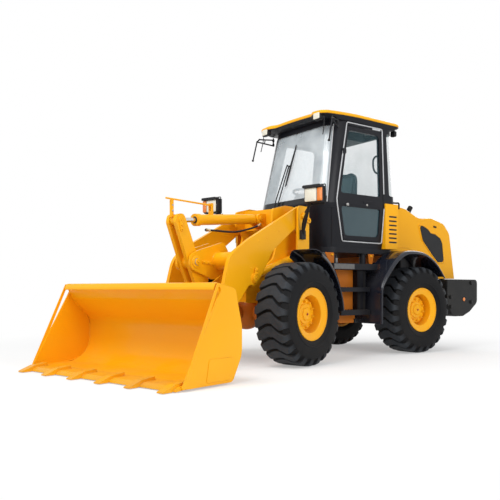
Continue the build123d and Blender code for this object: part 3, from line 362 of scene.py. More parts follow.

# ---- Painted steel of frames, boom, bucket, hood and panels -------------------------------
# Welded plate sprayed in one orange-yellow gloss enamel with a slight orange peel, chipped at
# its edges and a little dusty low down. Rear frame, axles and step hangers carry the same enamel
# made a darker orange, which is painted shade for the shadow they lie in under the machine;
# black paint and bare steel parts are finished the same way.
edges, given, put = group("edge_wear", [("Color", COLOUR, (0, 0, 0, 1)), ("Bare", COLOUR, (0.2, 0.2, 0.2, 1)),
                                        ("Amount", NUMBER, 0.3)], [("Color", COLOUR), ("Mask", NUMBER)])
soft_edge = wired(edges, "ShaderNodeBevel", samples=4, in_Radius=0.005)
sharp = wired(edges, "ShaderNodeNewGeometry")
turn = wired(edges, "ShaderNodeVectorMath", operation="DOT_PRODUCT", in_0=soft_edge,
             in_1=sharp.outputs["True Normal"])
rim = ranged(edges, turn.outputs["Value"], 0.97, 0.75)
place = object_place(edges)
chips = noise(edges, place, 28.0, 5.0)
broken = ranged(edges, chips, 0.5, 0.62)
mask = product(edges, rim, broken)
mask = product(edges, mask, given["Amount"])
mixed = blended(edges, mask, given["Color"], given["Bare"])
edges.links.new(mixed, put["Color"])
edges.links.new(mask.outputs[0], put["Mask"])

sprayed, given, put = group("spray_coat", [("Color", COLOUR, (0, 0, 0, 1)), ("Thin", COLOUR, (0, 0, 0, 1)),
                                           ("Peel", NUMBER, 420.0)], [("Color", COLOUR), ("Height", NUMBER)])
place = object_place(sprayed)
cloud = noise(sprayed, place, 1.7, 3.0)
spread = ranged(sprayed, cloud, 0.35, 0.7, 0.0, 0.55)
mixed = blended(sprayed, spread, given["Color"], given["Thin"])
peel = noise(sprayed, place, given["Peel"], 2.0)
sprayed.links.new(mixed, put["Color"])
sprayed.links.new(peel.outputs[0], put["Height"])


def enamel(name, colour, thin, bare, roughness, coat, wear, grime, peel, depth=0.0003, soft=0.004):
    """Sprayed paint: two close tones, orange peel, softened edges, chips on edges and dust low down."""
    finish, tree, shader = dressed(name, colour, roughness, coat=coat)
    paint = wired(tree, "ShaderNodeGroup", node_tree=sprayed, in_Color=(*colour, 1), in_Thin=(*thin, 1),
                  in_Peel=peel)
    worn = wired(tree, "ShaderNodeGroup", node_tree=edges, in_Color=paint.outputs["Color"],
                 in_Bare=(*bare, 1), in_Amount=wear)
    dusted(tree, shader, worn.outputs["Color"], roughness, grime)
    softer = wired(tree, "ShaderNodeBevel", samples=4, in_Radius=soft)
    bumped(tree, shader, paint.outputs["Height"], 0.25, depth, in_Normal=softer)
    return finish


def repainted(finish, *names):
    """Gives CAD nodes whose shape is right their better material."""
    for name in names:
        mesh = frame["nodes"][name].data
        mesh.materials.clear()
        mesh.materials.append(finish)


yellow = enamel("yellow_enamel", (0.92, 0.43, 0.006), (0.88, 0.385, 0.004), (0.45, 0.24, 0.05), 0.34, 0.12,
                0.35, 0.16, 420.0)
repainted(yellow, "front_frame", "boom", "bell_crank", "bucket_link", "bucket", "lift_barrels", "tilt_barrel",
          "lift_rods", "tilt_rod", "steer_rod_left", "steer_rod_right", "steer_barrel_left",
          "steer_barrel_right", "louvre_panels", "hood",
          *[name for name in frame["nodes"] if name.endswith("_rim")])
# Painted shade: a darker orange copy of the yellow enamel for parts that lie in the machine's shadow.
chassis_orange_painted_shade = enamel("chassis_enamel", (0.52, 0.15, 0.012), (0.46, 0.125, 0.01), (0.3, 0.13, 0.04), 0.45,
                        0.05, 0.4, 0.35, 300.0)
repainted(chassis_orange_painted_shade, "rear_frame", "front_axle", "rear_axle", "step_hangers")
satin_black = enamel("black_satin", (0.007, 0.0075, 0.011), (0.011, 0.012, 0.016), (0.06, 0.06, 0.065), 0.36,
                     0.06, 0.5, 0.22, 260.0)
repainted(satin_black, "cab_frame", "cab_floor", "left_door", "right_door", "access_steps", "side_tanks",
          "mirror_brackets", "exhaust_pipe")
cast_black = enamel("black_casting", (0.008, 0.0085, 0.009), (0.012, 0.012, 0.013), (0.07, 0.07, 0.07), 0.42,
                    0.1, 0.4, 0.3, 120.0, 0.0012, 0.03)
repainted(cast_black, "counterweight")
engine_grey = enamel("engine_grey", (0.05, 0.052, 0.056), (0.03, 0.03, 0.032), (0.2, 0.19, 0.18), 0.5, 0.0,
                     0.5, 0.6, 90.0, 0.0012)
repainted(engine_grey, "engine_block")
edge_steel = enamel("ground_edge", (0.86, 0.4, 0.008), (0.72, 0.3, 0.006), (0.4, 0.36, 0.3), 0.38, 0.1, 0.9,
                    0.3, 300.0)
repainted(edge_steel, "cutting_edge")
turned_steel = enamel("turned_steel", (0.42, 0.41, 0.4), (0.3, 0.28, 0.26), (0.6, 0.6, 0.6), 0.35, 0.0, 0.3,
                      0.3, 500.0)
repainted(turned_steel, "crank_pin", "link_pin", "bucket_pins")

# ---- Moulded black plastic in and on the cab ---------------------------------------------
# Lamp housings, console, air duct, column cover and grilles: textured black mouldings with
# a fine leather grain, slightly scuffed along their edges.
moulded, tree, shader = dressed("black_moulding", (0.014, 0.0145, 0.016), 0.5, specular=0.2)
place = object_place(tree)
grain = wired(tree, "ShaderNodeTexVoronoi", in_Vector=place, in_Scale=430.0)
cloud = noise(tree, place, 9.0, 4.0)
tone = blended(tree, cloud, (0.009, 0.009, 0.01, 1), (0.022, 0.023, 0.026, 1))
worn = wired(tree, "ShaderNodeGroup", node_tree=edges, in_Color=tone, in_Bare=(0.06, 0.06, 0.065, 1),
             in_Amount=0.5)
dusted(tree, shader, worn.outputs["Color"], 0.5, 0.4)
bumped(tree, shader, grain.outputs["Distance"], 0.35, 0.0004)
repainted(moulded, "headlamps", "hood_grilles", "steering_column", "control_console", "ceiling_duct")

# ---- Cab glass ------------------------------------------------------------------------------
# Curved toughened panes, 6 mm: the doors and the back are blue-green, dark below the belt line;
# the raked windshield is clearer and carries a pale cloudy veil, thicker low down, that is partly
# a film of dust and partly a painted reflection of the bright sky.
PANES = [  # name, tint, clearer tint, thinnest and thickest film, darkening of the low pane, nodes
    ("door_glass", (0.12, 0.25, 0.30), (0.17, 0.31, 0.35), 0.05, 0.11, 0.8,
     ("rear_window", "left_door_glass", "right_door_glass")),
    ("screen_glass", (0.72, 0.82, 0.88), (0.86, 0.92, 0.95), 0.26, 0.44, 0.0, ("windshield",))]
for name, tint_low, tint_high, thin_film, thick_film, shade, panes in PANES:
    pane_glass, tree, shader = dressed(name, tint_low, 0.04, specular=0.6, alpha=0.25)
    place = object_place(tree)
    film = noise(tree, place, 3.0, 6.0)
    height = wired(tree, "ShaderNodeSeparateXYZ", in_0=place).outputs["Z"]
    lower = ranged(tree, height, 2.8, 1.3, 0.0, 0.08)
    # On the windshield this pale veil is partly dust and partly a painted sky reflection; it thickens low
    # down.
    haze_dust_and_sky = ranged(tree, film, 0.3, 0.75, thin_film, thick_film)
    veil_dust_and_sky = wired(tree, "ShaderNodeMath", operation="ADD", in_0=haze_dust_and_sky, in_1=lower)
    tone = blended(tree, film, (*tint_low, 1), (*tint_high, 1))
    low_pane = ranged(tree, height, 1.86, 1.78)
    low_shade = product(tree, low_pane, shade)
    tint = blended(tree, low_shade, tone, (0.004, 0.014, 0.02, 1))
    tree.links.new(tint, shader.inputs["Base Color"])
    darker = wired(tree, "ShaderNodeMath", operation="ADD", in_0=low_shade, in_1=veil_dust_and_sky)
    tree.links.new(darker.outputs[0], shader.inputs["Alpha"])
    wiped = ranged(tree, film, 0.3, 0.75, 0.03, 0.12)
    tree.links.new(wiped.outputs[0], shader.inputs["Roughness"])
    repainted(pane_glass, *panes)

# ---- Tyres ----------------------------------------------------------------------------------
# Four diagonal-ply tyres with 24 deep traction lugs each: every groove climbs from the inner
# shoulder to a flat peak at the middle, drops and runs out almost flat. Black rubber, near black
# on the sidewalls and in the grooves; the lug tops on the tread are a lighter blue-grey that is
# partly scuffed rubber and partly a painted sheen.
HINGE_TO_AXLE, HALF_TRACK, WHEEL_HEIGHT = 1145, 712, 537
TYRE_CENTRES = [  # wheel, half, forward, side
    ("front_left", front_half, HINGE_TO_AXLE, 1), ("front_right", front_half, HINGE_TO_AXLE, -1),
    ("rear_left", rear_half, -HINGE_TO_AXLE, 1), ("rear_right", rear_half, -HINGE_TO_AXLE, -1),
]
TYRE_SHAPE = [  # radius, outward offset, groove depth, share of a pitch that is groove, ridge height
    (260, 164, 0, 0.4, 0), (272, 168, 0, 0.4, 0), (284, 181, 0, 0.4, 0), (300, 190, 0, 0.4, 0),
    (318, 196.5, 0, 0.4, 0), (326, 198.5, 0, 0.4, 0), (329, 199.2, 0, 0.4, 3), (338, 200.6, 0, 0.4, 3),
    (341, 201, 0, 0.4, 0), (365, 202.4, 0, 0.4, 0), (395, 202.5, 0, 0.4, 0), (425, 201.6, 0, 0.4, 0),
    (441, 200.2, 0, 0.42, 0), (453, 198.4, 0, 0.46, 0), (456, 197.8, 5, 0.5, 0), (474, 194, 13, 0.52, 0),
    (492, 188, 19, 0.52, 0), (508, 180, 23, 0.5, 0), (520, 172, 24, 0.47, 0), (529, 162, 24, 0.42, 0),
    (532.5, 148, 24, 0.34, 0), (535, 128, 24, 0.27, 0), (536.4, 100, 24, 0.24, 0), (537, 70, 24, 0.22, 0),
    (537.4, 40, 24, 0.21, 0), (537.6, 10, 24, 0.21, 0),
]
LUG_COUNT = 24
TREAD_PATH = [  # offset from the middle, height of a groove
    (-200, -20), (-150, -20), (-20, 45), (40, 45), (130, -30), (200, -35),
]
half_shape = np.array(TYRE_SHAPE, float)
other_shape = half_shape[::-1] * np.array([1, -1, 1, 1, 1])
tyre_shape = np.concatenate([half_shape, other_shape])
slope = unit(np.gradient(tyre_shape[:, :2], axis=0))
out_radius, out_offset = -slope[:, 1], slope[:, 0]
path_offset, path_height = np.array(TREAD_PATH, float).T
lean = np.interp(tyre_shape[:, 1], path_offset, path_height) / WHEEL_HEIGHT
groove = tyre_shape[:, 3][:, None]
RAMP = 0.028  # half of the share of a pitch that a lug's flank takes
phase = np.concatenate([0 * groove, groove / 2 - RAMP, groove / 2 + RAMP, 0.36 + 0 * groove,
                        0.64 + 0 * groove, 1 - groove / 2 - RAMP, 1 - groove / 2 + RAMP], 1)
raised = np.array([0, 0, 1, 1, 1, 1, 0])
lug = np.arange(LUG_COUNT)
pitches = (lug[:, None] + phase[:, None, :]).reshape(len(tyre_shape), -1)
turned_by = pitches * 2 * math.pi / LUG_COUNT + lean[:, None]
lug_height = np.tile(raised, LUG_COUNT)[None, :] * np.ones((len(tyre_shape), 1))
lift = tyre_shape[:, 4][:, None] - tyre_shape[:, 2][:, None] * (1 - lug_height)
tyre_radius = tyre_shape[:, 0][:, None] + out_radius[:, None] * lift
tyre_offset = tyre_shape[:, 1][:, None] + out_offset[:, None] * lift
on_tread = np.clip((tyre_shape[:, 0] - 452) / 60, 0, 1)[:, None]

rubber, tree, shader = dressed("tyre_rubber", (0.02, 0.021, 0.023), 0.55, specular=0.1)
place = object_place(tree)
tops = wired(tree, "ShaderNodeAttribute", attribute_name="lug_top").outputs["Fac"]
scuff = wired(tree, "ShaderNodeTexNoise", in_Vector=place, in_Scale=16.0, in_Detail=6.0, in_Roughness=0.65)
patch = noise(tree, place, 2.6, 3.0)
side_tone = blended(tree, patch, (0.004, 0.0042, 0.005, 1), (0.01, 0.0105, 0.012, 1))
# Lug tops lighter and bluer: scuffed rubber plus a painted sheen of the sky.
lug_top_scuff_and_sheen = blended(tree, scuff, (0.018, 0.021, 0.026, 1), (0.048, 0.054, 0.062, 1))
tone = blended(tree, tops, side_tone, lug_top_scuff_and_sheen)
dusted(tree, shader, tone, 0.55, 0.12)
fine = noise(tree, place, 170.0, 4.0)
cuts = wired(tree, "ShaderNodeMath", operation="ADD", in_0=fine, in_1=scuff)
bumped(tree, shader, cuts, 0.4, 0.0015)
for name, half, forward, side in TYRE_CENTRES:
    grid = half(np.stack([forward + tyre_radius * np.cos(turned_by), side * (HALF_TRACK + tyre_offset),
                          WHEEL_HEIGHT + tyre_radius * np.sin(turned_by)], -1))
    tyre = skin(name + "_treaded_tyre", [(grid, "ring")], 28)
    mark = tyre.data.attributes.new("lug_top", "FLOAT", "POINT")
    mark.data.foreach_set("value", (lug_height * on_tread).ravel())
    fitted(tyre, name + "_wheel", rubber, [name + "_tyre"])

# ---- Wheel hubs and nuts ---------------------------------------------------------------------
# Each rim's hub disc carries ten M20 studs with flanged nuts, a stepped cover over the final
# drive with a red drain plug, and a valve stem in the well. Sprayed with the rim.
NUT_ROWS = np.array([  # radius, height
    (17, 0), (17, 4), (13, 5), (13, 19), (11, 22), (7, 22), (7, 29), (5, 31),
]) / 1000
COVER_ROWS = np.array([(104, 0), (104, 7), (99, 11), (70, 12), (66, 15), (62, 26), (56, 30), (22, 31),
                       (20, 34),
              (16, 34)]) / 1000
PLUG_ROWS = np.array([(13, 28), (13, 38), (10, 41)]) / 1000
VALVE_ROWS = np.array([(8, 0), (8, 14), (5, 16), (5, 44), (4, 46)]) / 1000
STUD_CIRCLE, STUD_COUNT = 130, 10
HUB_FACE = HALF_TRACK + 75
drain_red = enamel("drain_plug_red", (0.35, 0.03, 0.02), (0.28, 0.02, 0.015), (0.3, 0.25, 0.2), 0.4, 0.2, 0.4,
                   0.4, 300.0)
for name, half, forward, side in TYRE_CENTRES:
    middle = np.array([forward, side * HUB_FACE, WHEEL_HEIGHT])
    outward = half([forward, side * 1000, 0]) - half([forward, 0, 0])
    sheets = [turning(COVER_ROWS, half(middle), outward, 48)]
    for number in range(STUD_COUNT):
        angle = 2 * math.pi * number / STUD_COUNT + 0.2
        spot = half(middle + STUD_CIRCLE * np.array([math.cos(angle), 0, math.sin(angle)]))
        sheets.append(turning(NUT_ROWS, spot, outward, 12))
    stem = half([forward + 168, side * (HALF_TRACK + 26), WHEEL_HEIGHT + 60])
    sheets.append(turning(VALVE_ROWS, stem, outward, 10))
    fitted(skin(name + "_hub_cover", sheets), name + "_wheel", yellow)
    plug = skin(name + "_drain_plug", [turning(PLUG_ROWS, half(middle), outward, 6)])
    fitted(plug, name + "_wheel", drain_red)

# ---- Chromed piston rods ---------------------------------------------------------------------
# Hard-chromed bars of the tilt, lift and steering cylinders, slid over the drawn rods by a
# sixth of a millimetre; the tilt and lift glands each carry a black wiper seal.
LIFT_LINE = ((600, 1180), (1505, 908))
TILT_LINE = ((965, 1589), (2225, 1472))
STEER_BASE, STEER_EYE = (-450, 300, 760), (250, 230, 760)  # on the rear and on the front half
ROD_RADIUS, STEER_ROD_RADIUS = 25.16, 18.16
SEAL_ROWS = np.array([  # radius, beyond the gland face
    (25.3, -6), (33, -6), (36, 0), (33, 5), (27, 7), (25.3, 7),
]) / 1000
chrome, tree, shader = dressed("hard_chrome", (0.66, 0.67, 0.69), 0.1, 1.0, specular=0.5)
place = object_place(tree)
smear = noise(tree, place, 12.0, 5.0)
oily = ranged(tree, smear, 0.35, 0.7, 0.07, 0.24)
tree.links.new(oily.outputs[0], shader.inputs["Roughness"])
tone = blended(tree, smear, (0.58, 0.59, 0.61, 1), (0.74, 0.75, 0.77, 1))
tree.links.new(tone, shader.inputs["Base Color"])


def along_line(line, y, distance):
    """Front-half point at a distance from the base eye of a side-view line, in millimetres."""
    start, end = np.array(line[0], float), np.array(line[1], float)
    spot = start + unit(end - start) * distance
    return np.array([spot[0], y, spot[1]])


for name, line, y_places, hidden, gland, body, barrel in (
        ("tilt_chrome", TILT_LINE, (0,), 660, 1000, "tilt_rod", "tilt_barrel"),
        ("lift_chrome", LIFT_LINE, (325, -325), 150, 790, "lift_rods", "lift_barrels")):
    length = math.dist(*line)
    bars, seals = [], []
    for y in y_places:
        start, end = front_half(along_line(line, y, hidden)), front_half(along_line(line, y, length - 30))
        reach = np.linalg.norm(end - start)
        bars.append(turning([(ROD_RADIUS / 1000, 0), (ROD_RADIUS / 1000, reach)], start, end - start, 32))
        seals.append((turning(SEAL_ROWS, front_half(along_line(line, y, gland)), end - start, 32), "ring"))
    fitted(skin(name, bars), body, chrome)
    fitted(skin(name.replace("chrome", "wiper_seals"), seals), barrel, hose_rubber)
for side, name in ((1, "left"), (-1, "right")):
    base = rear_half(STEER_BASE, side)
    eye = front_half(STEER_EYE, side)
    way = unit(eye - base)
    reach = np.linalg.norm(eye - base)
    bar = turning([(STEER_ROD_RADIUS / 1000, reach - 0.42), (STEER_ROD_RADIUS / 1000, reach - 0.03)], base,
                  way, 24)
    fitted(skin("steer_chrome_" + name, [bar]), "steer_rod_" + name, chrome)

# ---- Pin heads, keepers and grease nipples of the linkage ------------------------------------
# Each joint's pin ends in a chamfered head with a centre drill and a grease nipple; most are
# locked by an oval keeper plate with two M16 bolts. All sprayed over in yellow.
HEAD_ROWS = [(1, 0), (1, 0.6), (0.93, 0.8), (0.3, 0.8), (0.26, 0.5)]  # radius and height as shares
BOLT_ROWS = np.array([(15, 0), (15, 2.5), (12, 3), (12, 12), (10, 13.5), (5, 13.5)]) / 1000
NIPPLE_ROWS = np.array([(7, 0), (7, 5), (4, 6), (4, 11), (5, 13), (3, 16)]) / 1000
PIN_HEADS = [  # name, body, forward, up, outer face left, radius, height, keeper reach, keeper angle
    ("boom_pivot_head", "front_body", 690, 1610, 467, 44, 12, 96, 205),
    ("lift_base_head", "front_body", 600, 1180, 467, 36, 10, 84, 20),
    ("lift_eye_head", "boom", 1505, 908, 429, 40, 12, 86, 100),
    ("crank_pivot_head", "crank_pin", 2040, 1065, 123, 33, 6, 0, 0),
    ("tilt_eye_head", "bell_crank", 2225, 1472, 72, 33, 10, 92, 262),
    ("crank_foot_head", "bell_crank", 1867, 720, 80, 22, 8, 70, 70),
    ("tilt_base_head", "front_body", 965, 1589, 73, 30, 8, 0, 0),
    ("bucket_pivot_head", "bucket_pins", 2335, 280, 458, 34, 10, 0, 0),
    ("bucket_link_head", "bucket", 2412, 470, 70, 26, 8, 0, 0),
]


def rounded(corners, steps=5):
    """Closed outline through corners of (across, up, radius), each turned into an arc."""
    corners = np.asarray(corners, float)
    points = corners[:, :2]
    back, on = unit(np.roll(points, 1, 0) - points), unit(np.roll(points, -1, 0) - points)
    half = np.arccos(np.clip((back * on).sum(1), -1, 1)) / 2
    reach = corners[:, 2] / np.tan(half)
    t = np.linspace(0, 1, steps)[None, :, None]
    start, end = points + back * reach[:, None], points + on * reach[:, None]
    curve = (1 - t) ** 2 * start[:, None] + 2 * t * (1 - t) * points[:, None] + t ** 2 * end[:, None]
    return curve.reshape(-1, 2)


def slab(outline, low, high, chamfer, standing):
    """Plate with a small chamfer: an outline of (across, up) between two depths, stood up by a function."""
    outline = np.asarray(outline, float)
    low, high = sorted((low, high))
    edge = unit(np.roll(outline, -1, 0) - np.roll(outline, 1, 0) + 1e-9)
    area = (outline[:, 0] * np.roll(outline[:, 1], -1) - outline[:, 1] * np.roll(outline[:, 0], -1)).sum()
    inward = np.stack([-edge[:, 1], edge[:, 0]], 1) * math.copysign(1, area)
    small = outline + inward * chamfer
    rings = [(small, low), (outline, low + chamfer), (outline, high - chamfer), (small, high)]
    return standing(np.stack([np.column_stack([ring, np.full(len(ring), depth)]) for ring, depth in rings]))


def front_side(points):
    """Side-view drawing of the front half: (forward, up, left) to its place."""
    points = np.asarray(points, float)
    return front_half(points[..., [0, 2, 1]])


def rear_side(points):
    """Side-view drawing of the rear half: (forward, up, left) to its place."""
    points = np.asarray(points, float)
    return rear_half(points[..., [0, 2, 1]])


def oval(centre, reach, half_width, angle, steps=12):
    """Round-ended bar outline from a centre, a reach along an angle in degrees, and a half width."""
    turn = math.radians(angle)
    end_turn = np.linspace(math.pi / 2, 3 * math.pi / 2, steps)
    near = np.stack([half_width * np.cos(end_turn), half_width * np.sin(end_turn)], 1)
    far = np.stack([reach - half_width * np.cos(end_turn), -half_width * np.sin(end_turn)], 1)
    shape = np.concatenate([near, far])
    cos, sin = math.cos(turn), math.sin(turn)
    return np.asarray(centre, float) + shape @ np.array([[cos, sin], [-sin, cos]])


left_way = front_half([0, 1000, 0]) - front_half([0, 0, 0])
by_body = {}
for name, body, forward, up, face, radius, height, reach, angle in PIN_HEADS:
    sheets = by_body.setdefault(body, [])
    for side in (1, -1):
        way = left_way * side
        rows = np.array(HEAD_ROWS) * (radius, height) / 1000
        top = face
        if reach:
            outline = oval((forward, up), reach, radius * 0.72, angle)
            sheets.append(slab(outline, side * face, side * (face + 9), 2, front_side))
            top = face + 9
            turn = math.radians(angle)
            for share in (0.55, 0.98):
                spot = front_half([forward + reach * share * math.cos(turn), side * top,
                                   up + reach * share * math.sin(turn)])
                sheets.append(turning(BOLT_ROWS, spot, way, 6))
        sheets.append(turning(rows, front_half([forward, side * face, up]), way, 28))
        nipple = front_half([forward, side * (face + height * 0.5), up])
        sheets.append(turning(NIPPLE_ROWS, nipple, way, 8))
for body, sheets in by_body.items():
    fitted(skin(body + "_pin_heads", sheets, 30), body, yellow)

# ---- Boom welds, bosses and clamp bolts ------------------------------------------------------
# The cross tube is welded to the arms and ears with a raised bead; the ears carry a welded
# boss ring and a keeper rib, and small clamp bolts hold the pipes inside the arm.
CLAMP_BOLTS = [(1444, 1294), (1304, 1334), (1560, 1010), (1090, 1420)]
EAR_RIB = [(1965, 1082, 8), (1960, 1050, 8), (1800, 1040, 8), (1740, 1062, 8), (1800, 1080, 8)]


def bead(centre, axis, radius, thickness, sides=48, around=8):
    """Weld bead: a ring of round section about an axis."""
    turn = np.linspace(0, 2 * math.pi, around, endpoint=False)
    rows = np.stack([radius + thickness * np.cos(turn), thickness * np.sin(turn)], 1)
    return turning(rows, centre, axis, sides), "ring"


sheets = []
for side in (1, -1):
    way = left_way * side
    sheets.append(bead(front_half([1720, side * 374.5, 1085]), way, 0.092, 0.007))
    sheets.append(bead(front_half([1720, side * 109, 1085]), way, 0.092, 0.007))
    sheets.append((turning([(0.036, 0), (0.062, 0), (0.062, 0.007), (0.058, 0.009), (0.036, 0.009)],
                           front_half([2040, side * 108, 1065]), way, 36), "ring"))
    sheets.append(bead(front_half([2040, side * 109, 1065]), way, 0.062, 0.003))
    rib = rounded(EAR_RIB, 3)
    sheets.append(slab(rib, side * 107, side * 120, 2, front_side))
    for forward, up in ((1946, 1066), (1880, 1062)):
        sheets.append(turning(BOLT_ROWS, front_half([forward, side * 120, up]), way, 6))
    for forward, up in CLAMP_BOLTS:
        sheets.append(turning([(0.008, 0), (0.008, 0.003), (0.005, 0.0045)],
                              front_half([forward, side * 415, up]), way, 6))
    sheets.append(bead(front_half([2335, side * 415, 280]), way, 0.074, 0.004))
fitted(skin("boom_welds", sheets, 40), "boom", yellow)

# ---- Bell crank webs -------------------------------------------------------------------------
# The two crank plates are tied by a full web behind the upper eye and a short one near the
# foot, and the level indicator stands on a drilled strap with four small bolts.
WEBS = [  # outline in the side view
    [(2088, 1225, 4), (2104, 1218, 4), (2190, 1385, 4), (2174, 1393, 4)],
    [(1925, 905, 4), (1940, 897, 4), (1975, 975, 4), (1960, 983, 4)],
]
sheets = [slab(rounded(corners, 3), -32.5, 32.5, 1.5, front_side) for corners in WEBS]
fitted(skin("crank_webs", sheets), "bell_crank", yellow)
sheets = []
for up in (1560, 1615):
    for side in (1, -1):
        spot = front_half([2278, side * 14, up])
        sheets.append(turning([(0.009, 0), (0.009, 0.006), (0.006, 0.0075)], spot, left_way * side, 6))
fitted(skin("level_post_bolts", sheets), "tilt_rod", turned_steel)

# ---- Bucket lip, wear plates, welds and tooth bolts ------------------------------------------
# The back sheet ends in a welded lip bar; the side plates have a doubler at the heel and an
# edge strip; every tooth is held by two flat-headed plough bolts. All sprayed yellow.
LIP_BAR = [(2742, 792, 6), (2792, 786, 8), (2788, 812, 6), (2768, 848, 4)]
HEEL_DOUBLER = [(2600, 41, 20), (2895, 41, 20), (2862, 229, 24), (2557, 229, 40)]
EDGE_STRIP = [(3163, 22, 3), (2767, 846, 3), (2738, 838, 3), (3118, 22, 3)]
EAR_FACES = (370, 430)
TOOTH_COUNT, TOOTH_SPAN = 6, 1952
WRAPPER_INSIDE = [(2766, 843), (2698, 702), (2480, 488), (2480, 138), (2706, 58), (3160, 42)]
PLOUGH_ROWS = np.array([(19, -2), (19, 1.5), (16, 2.5), (8, 2.5), (7, 1)]) / 1000


def tube(path, radius, sides=8, taper=None):
    """Round bar along a path of points in metres."""
    path = np.asarray(path, float)
    forward = unit(np.gradient(path, axis=0))
    side_way = np.empty_like(path)
    side_way[0] = unit(np.cross(forward[0], [0.3, 0.2, 0.93]))
    for step in range(1, len(path)):
        carried = side_way[step - 1] - forward[step] * np.dot(side_way[step - 1], forward[step])
        side_way[step] = unit(carried)
    other = np.cross(forward, side_way)
    turn = np.linspace(0, 2 * math.pi, sides, endpoint=False)[None, :, None]
    girth = radius if taper is None else radius * np.asarray(taper, float)[:, None, None]
    ring = np.cos(turn) * side_way[:, None] + np.sin(turn) * other[:, None]
    return path[:, None] + girth * ring


def softened(points, radius, steps=6):
    """Open path through points in millimetres with each corner turned into an arc of about a radius."""
    points = np.asarray(points, float)
    rows = [points[:1]]
    for before, corner, after in zip(points, points[1:], points[2:]):
        back, on = before - corner, after - corner
        reach = min(radius, 0.45 * np.linalg.norm(back), 0.45 * np.linalg.norm(on))
        t = np.linspace(0, 1, steps)[:, None]
        start, end = corner + unit(back) * reach, corner + unit(on) * reach
        rows.append((1 - t) ** 2 * start + 2 * t * (1 - t) * corner + t ** 2 * end)
    rows.append(points[-1:])
    return np.concatenate(rows)


sheets = [slab(rounded(LIP_BAR, 4), -1038, 1038, 3, front_side)]
for side in (1, -1):
    sheets.append(slab(rounded(HEEL_DOUBLER), side * 1054, side * 1060, 2, front_side))
    sheets.append(slab(rounded(EDGE_STRIP, 3), side * 1054, side * 1060, 2, front_side))
    inside = softened([(forward, side * 1037, up) for forward, up in WRAPPER_INSIDE], 110)
    sheets.append(tube(front_half(inside), 0.006))
    for ear in EAR_FACES:
        sheets.append(tube(front_half([[2478, side * ear, 505], [2466, side * ear, 380],
                                       [2463, side * ear, 250], [2480, side * ear, 130]]), 0.007))
fitted(skin("bucket_lip_and_welds", sheets, 30), "bucket", yellow)
sheets = []
up_way = front_half([160, 0, 1400]) - front_half([0, 0, 0])
for number in range(TOOTH_COUNT):
    tooth_y = number * TOOTH_SPAN / (TOOTH_COUNT - 1) - TOOTH_SPAN / 2
    for forward in (3158, 3092):
        height = 62 + (3190 - forward) * 16 / 140
        sheets.append(turning(PLOUGH_ROWS, front_half([forward, tooth_y, height]), up_way, 16))
    sheets.append(tube(front_half(softened([[3052, tooth_y - 38, 52], [3046, tooth_y, 60],
                                            [3052, tooth_y + 38, 52]], 20)), 0.005))
fitted(skin("tooth_bolts", sheets, 30), "bucket", edge_steel)

# ---- Cab seals ---------------------------------------------------------------------------------
# Pale rubber seals, greyed by weather, run round each door and down the windshield's sides, and
# a black band crosses its foot. The cab's plan, which they follow, narrows upwards and is
# rounded at the corners.
CAB_LEVELS, CAB_FRONTS, CAB_HALVES = (1290, 1800, 2790), (215, 300, 87), (600, 650, 586)
CORNER = 230
DOOR_CORNERS = [(-140, 2772, 30), (75, 1850, 80), (75, 1800, 80), (-43, 1370, 30), (-708, 1365, 30),
                (-707, 1850, 200), (-742, 2772, 30)]


def cab_side(forward, up, proud):
    """Left-hand outside of the cab at forward and up values, moved out by a distance."""
    forward, up = np.asarray(forward, float), np.asarray(up, float)
    half = np.interp(up, CAB_LEVELS, CAB_HALVES)
    over = np.clip(forward - (np.interp(up, CAB_LEVELS, CAB_FRONTS) - CORNER), 0, CORNER)
    drop = CORNER - np.sqrt(CORNER ** 2 - over ** 2)
    return np.stack([forward, half - drop + proud, up], -1)


def cab_front(turn, up, proud):
    """Outside of the cab's rounded front: turn runs from -1 at the right side to 1 at the left."""
    turn, up = np.broadcast_arrays(np.asarray(turn, float), np.asarray(up, float))
    half = np.interp(up, CAB_LEVELS, CAB_HALVES)
    front = np.interp(up, CAB_LEVELS, CAB_FRONTS)
    arc = CORNER * math.pi / 2
    run = np.abs(turn) * (half - CORNER + arc)
    angle = np.clip(run - (half - CORNER), 0, arc) / CORNER
    forward = front - CORNER + (CORNER + proud) * np.cos(angle)
    left = np.minimum(run, half - CORNER) + (CORNER + proud) * np.sin(angle)
    return np.stack([forward, left * np.sign(turn), up], -1)


seal_grey = clouded("grey_seal", (0.5, 0.51, 0.52), 0.55, 25.0, 5.0, (0.4, 0.41, 0.43),
                    (0.62, 0.63, 0.64), 0.4)
ring = rounded(DOOR_CORNERS, 9)
spread = np.linspace(0, 1, 8, endpoint=False)[:, None, None]
ring = (ring + (np.roll(ring, -1, 0) - ring) * spread).transpose(1, 0, 2).reshape(-1, 2)
middle = ring.mean(0)
ring = ring + unit(ring - middle) * 9
break_at = np.argmin(np.hypot(ring[:, 0] + 716, ring[:, 1] - 1880))
ring = np.roll(ring, -break_at, 0)
ring = ring[(np.abs(ring[:, 1] - 1875) > 34) | (ring[:, 0] > -600)]
seal_path = cab_side(ring[:, 0], ring[:, 1], 3)
edge_up = np.linspace(2748, 1806, 24)
edge_path = cab_side(np.interp(edge_up, [1806, 2748], [203, 24]), edge_up, 3)
sheets = []
for side in (1, -1):
    sheets.append(tube(rear_half(seal_path, side), 0.0075, 8))
    sheets.append(tube(rear_half(edge_path, side), 0.006, 8))
fitted(skin("cab_seals", sheets, 60), "rear_body", seal_grey)
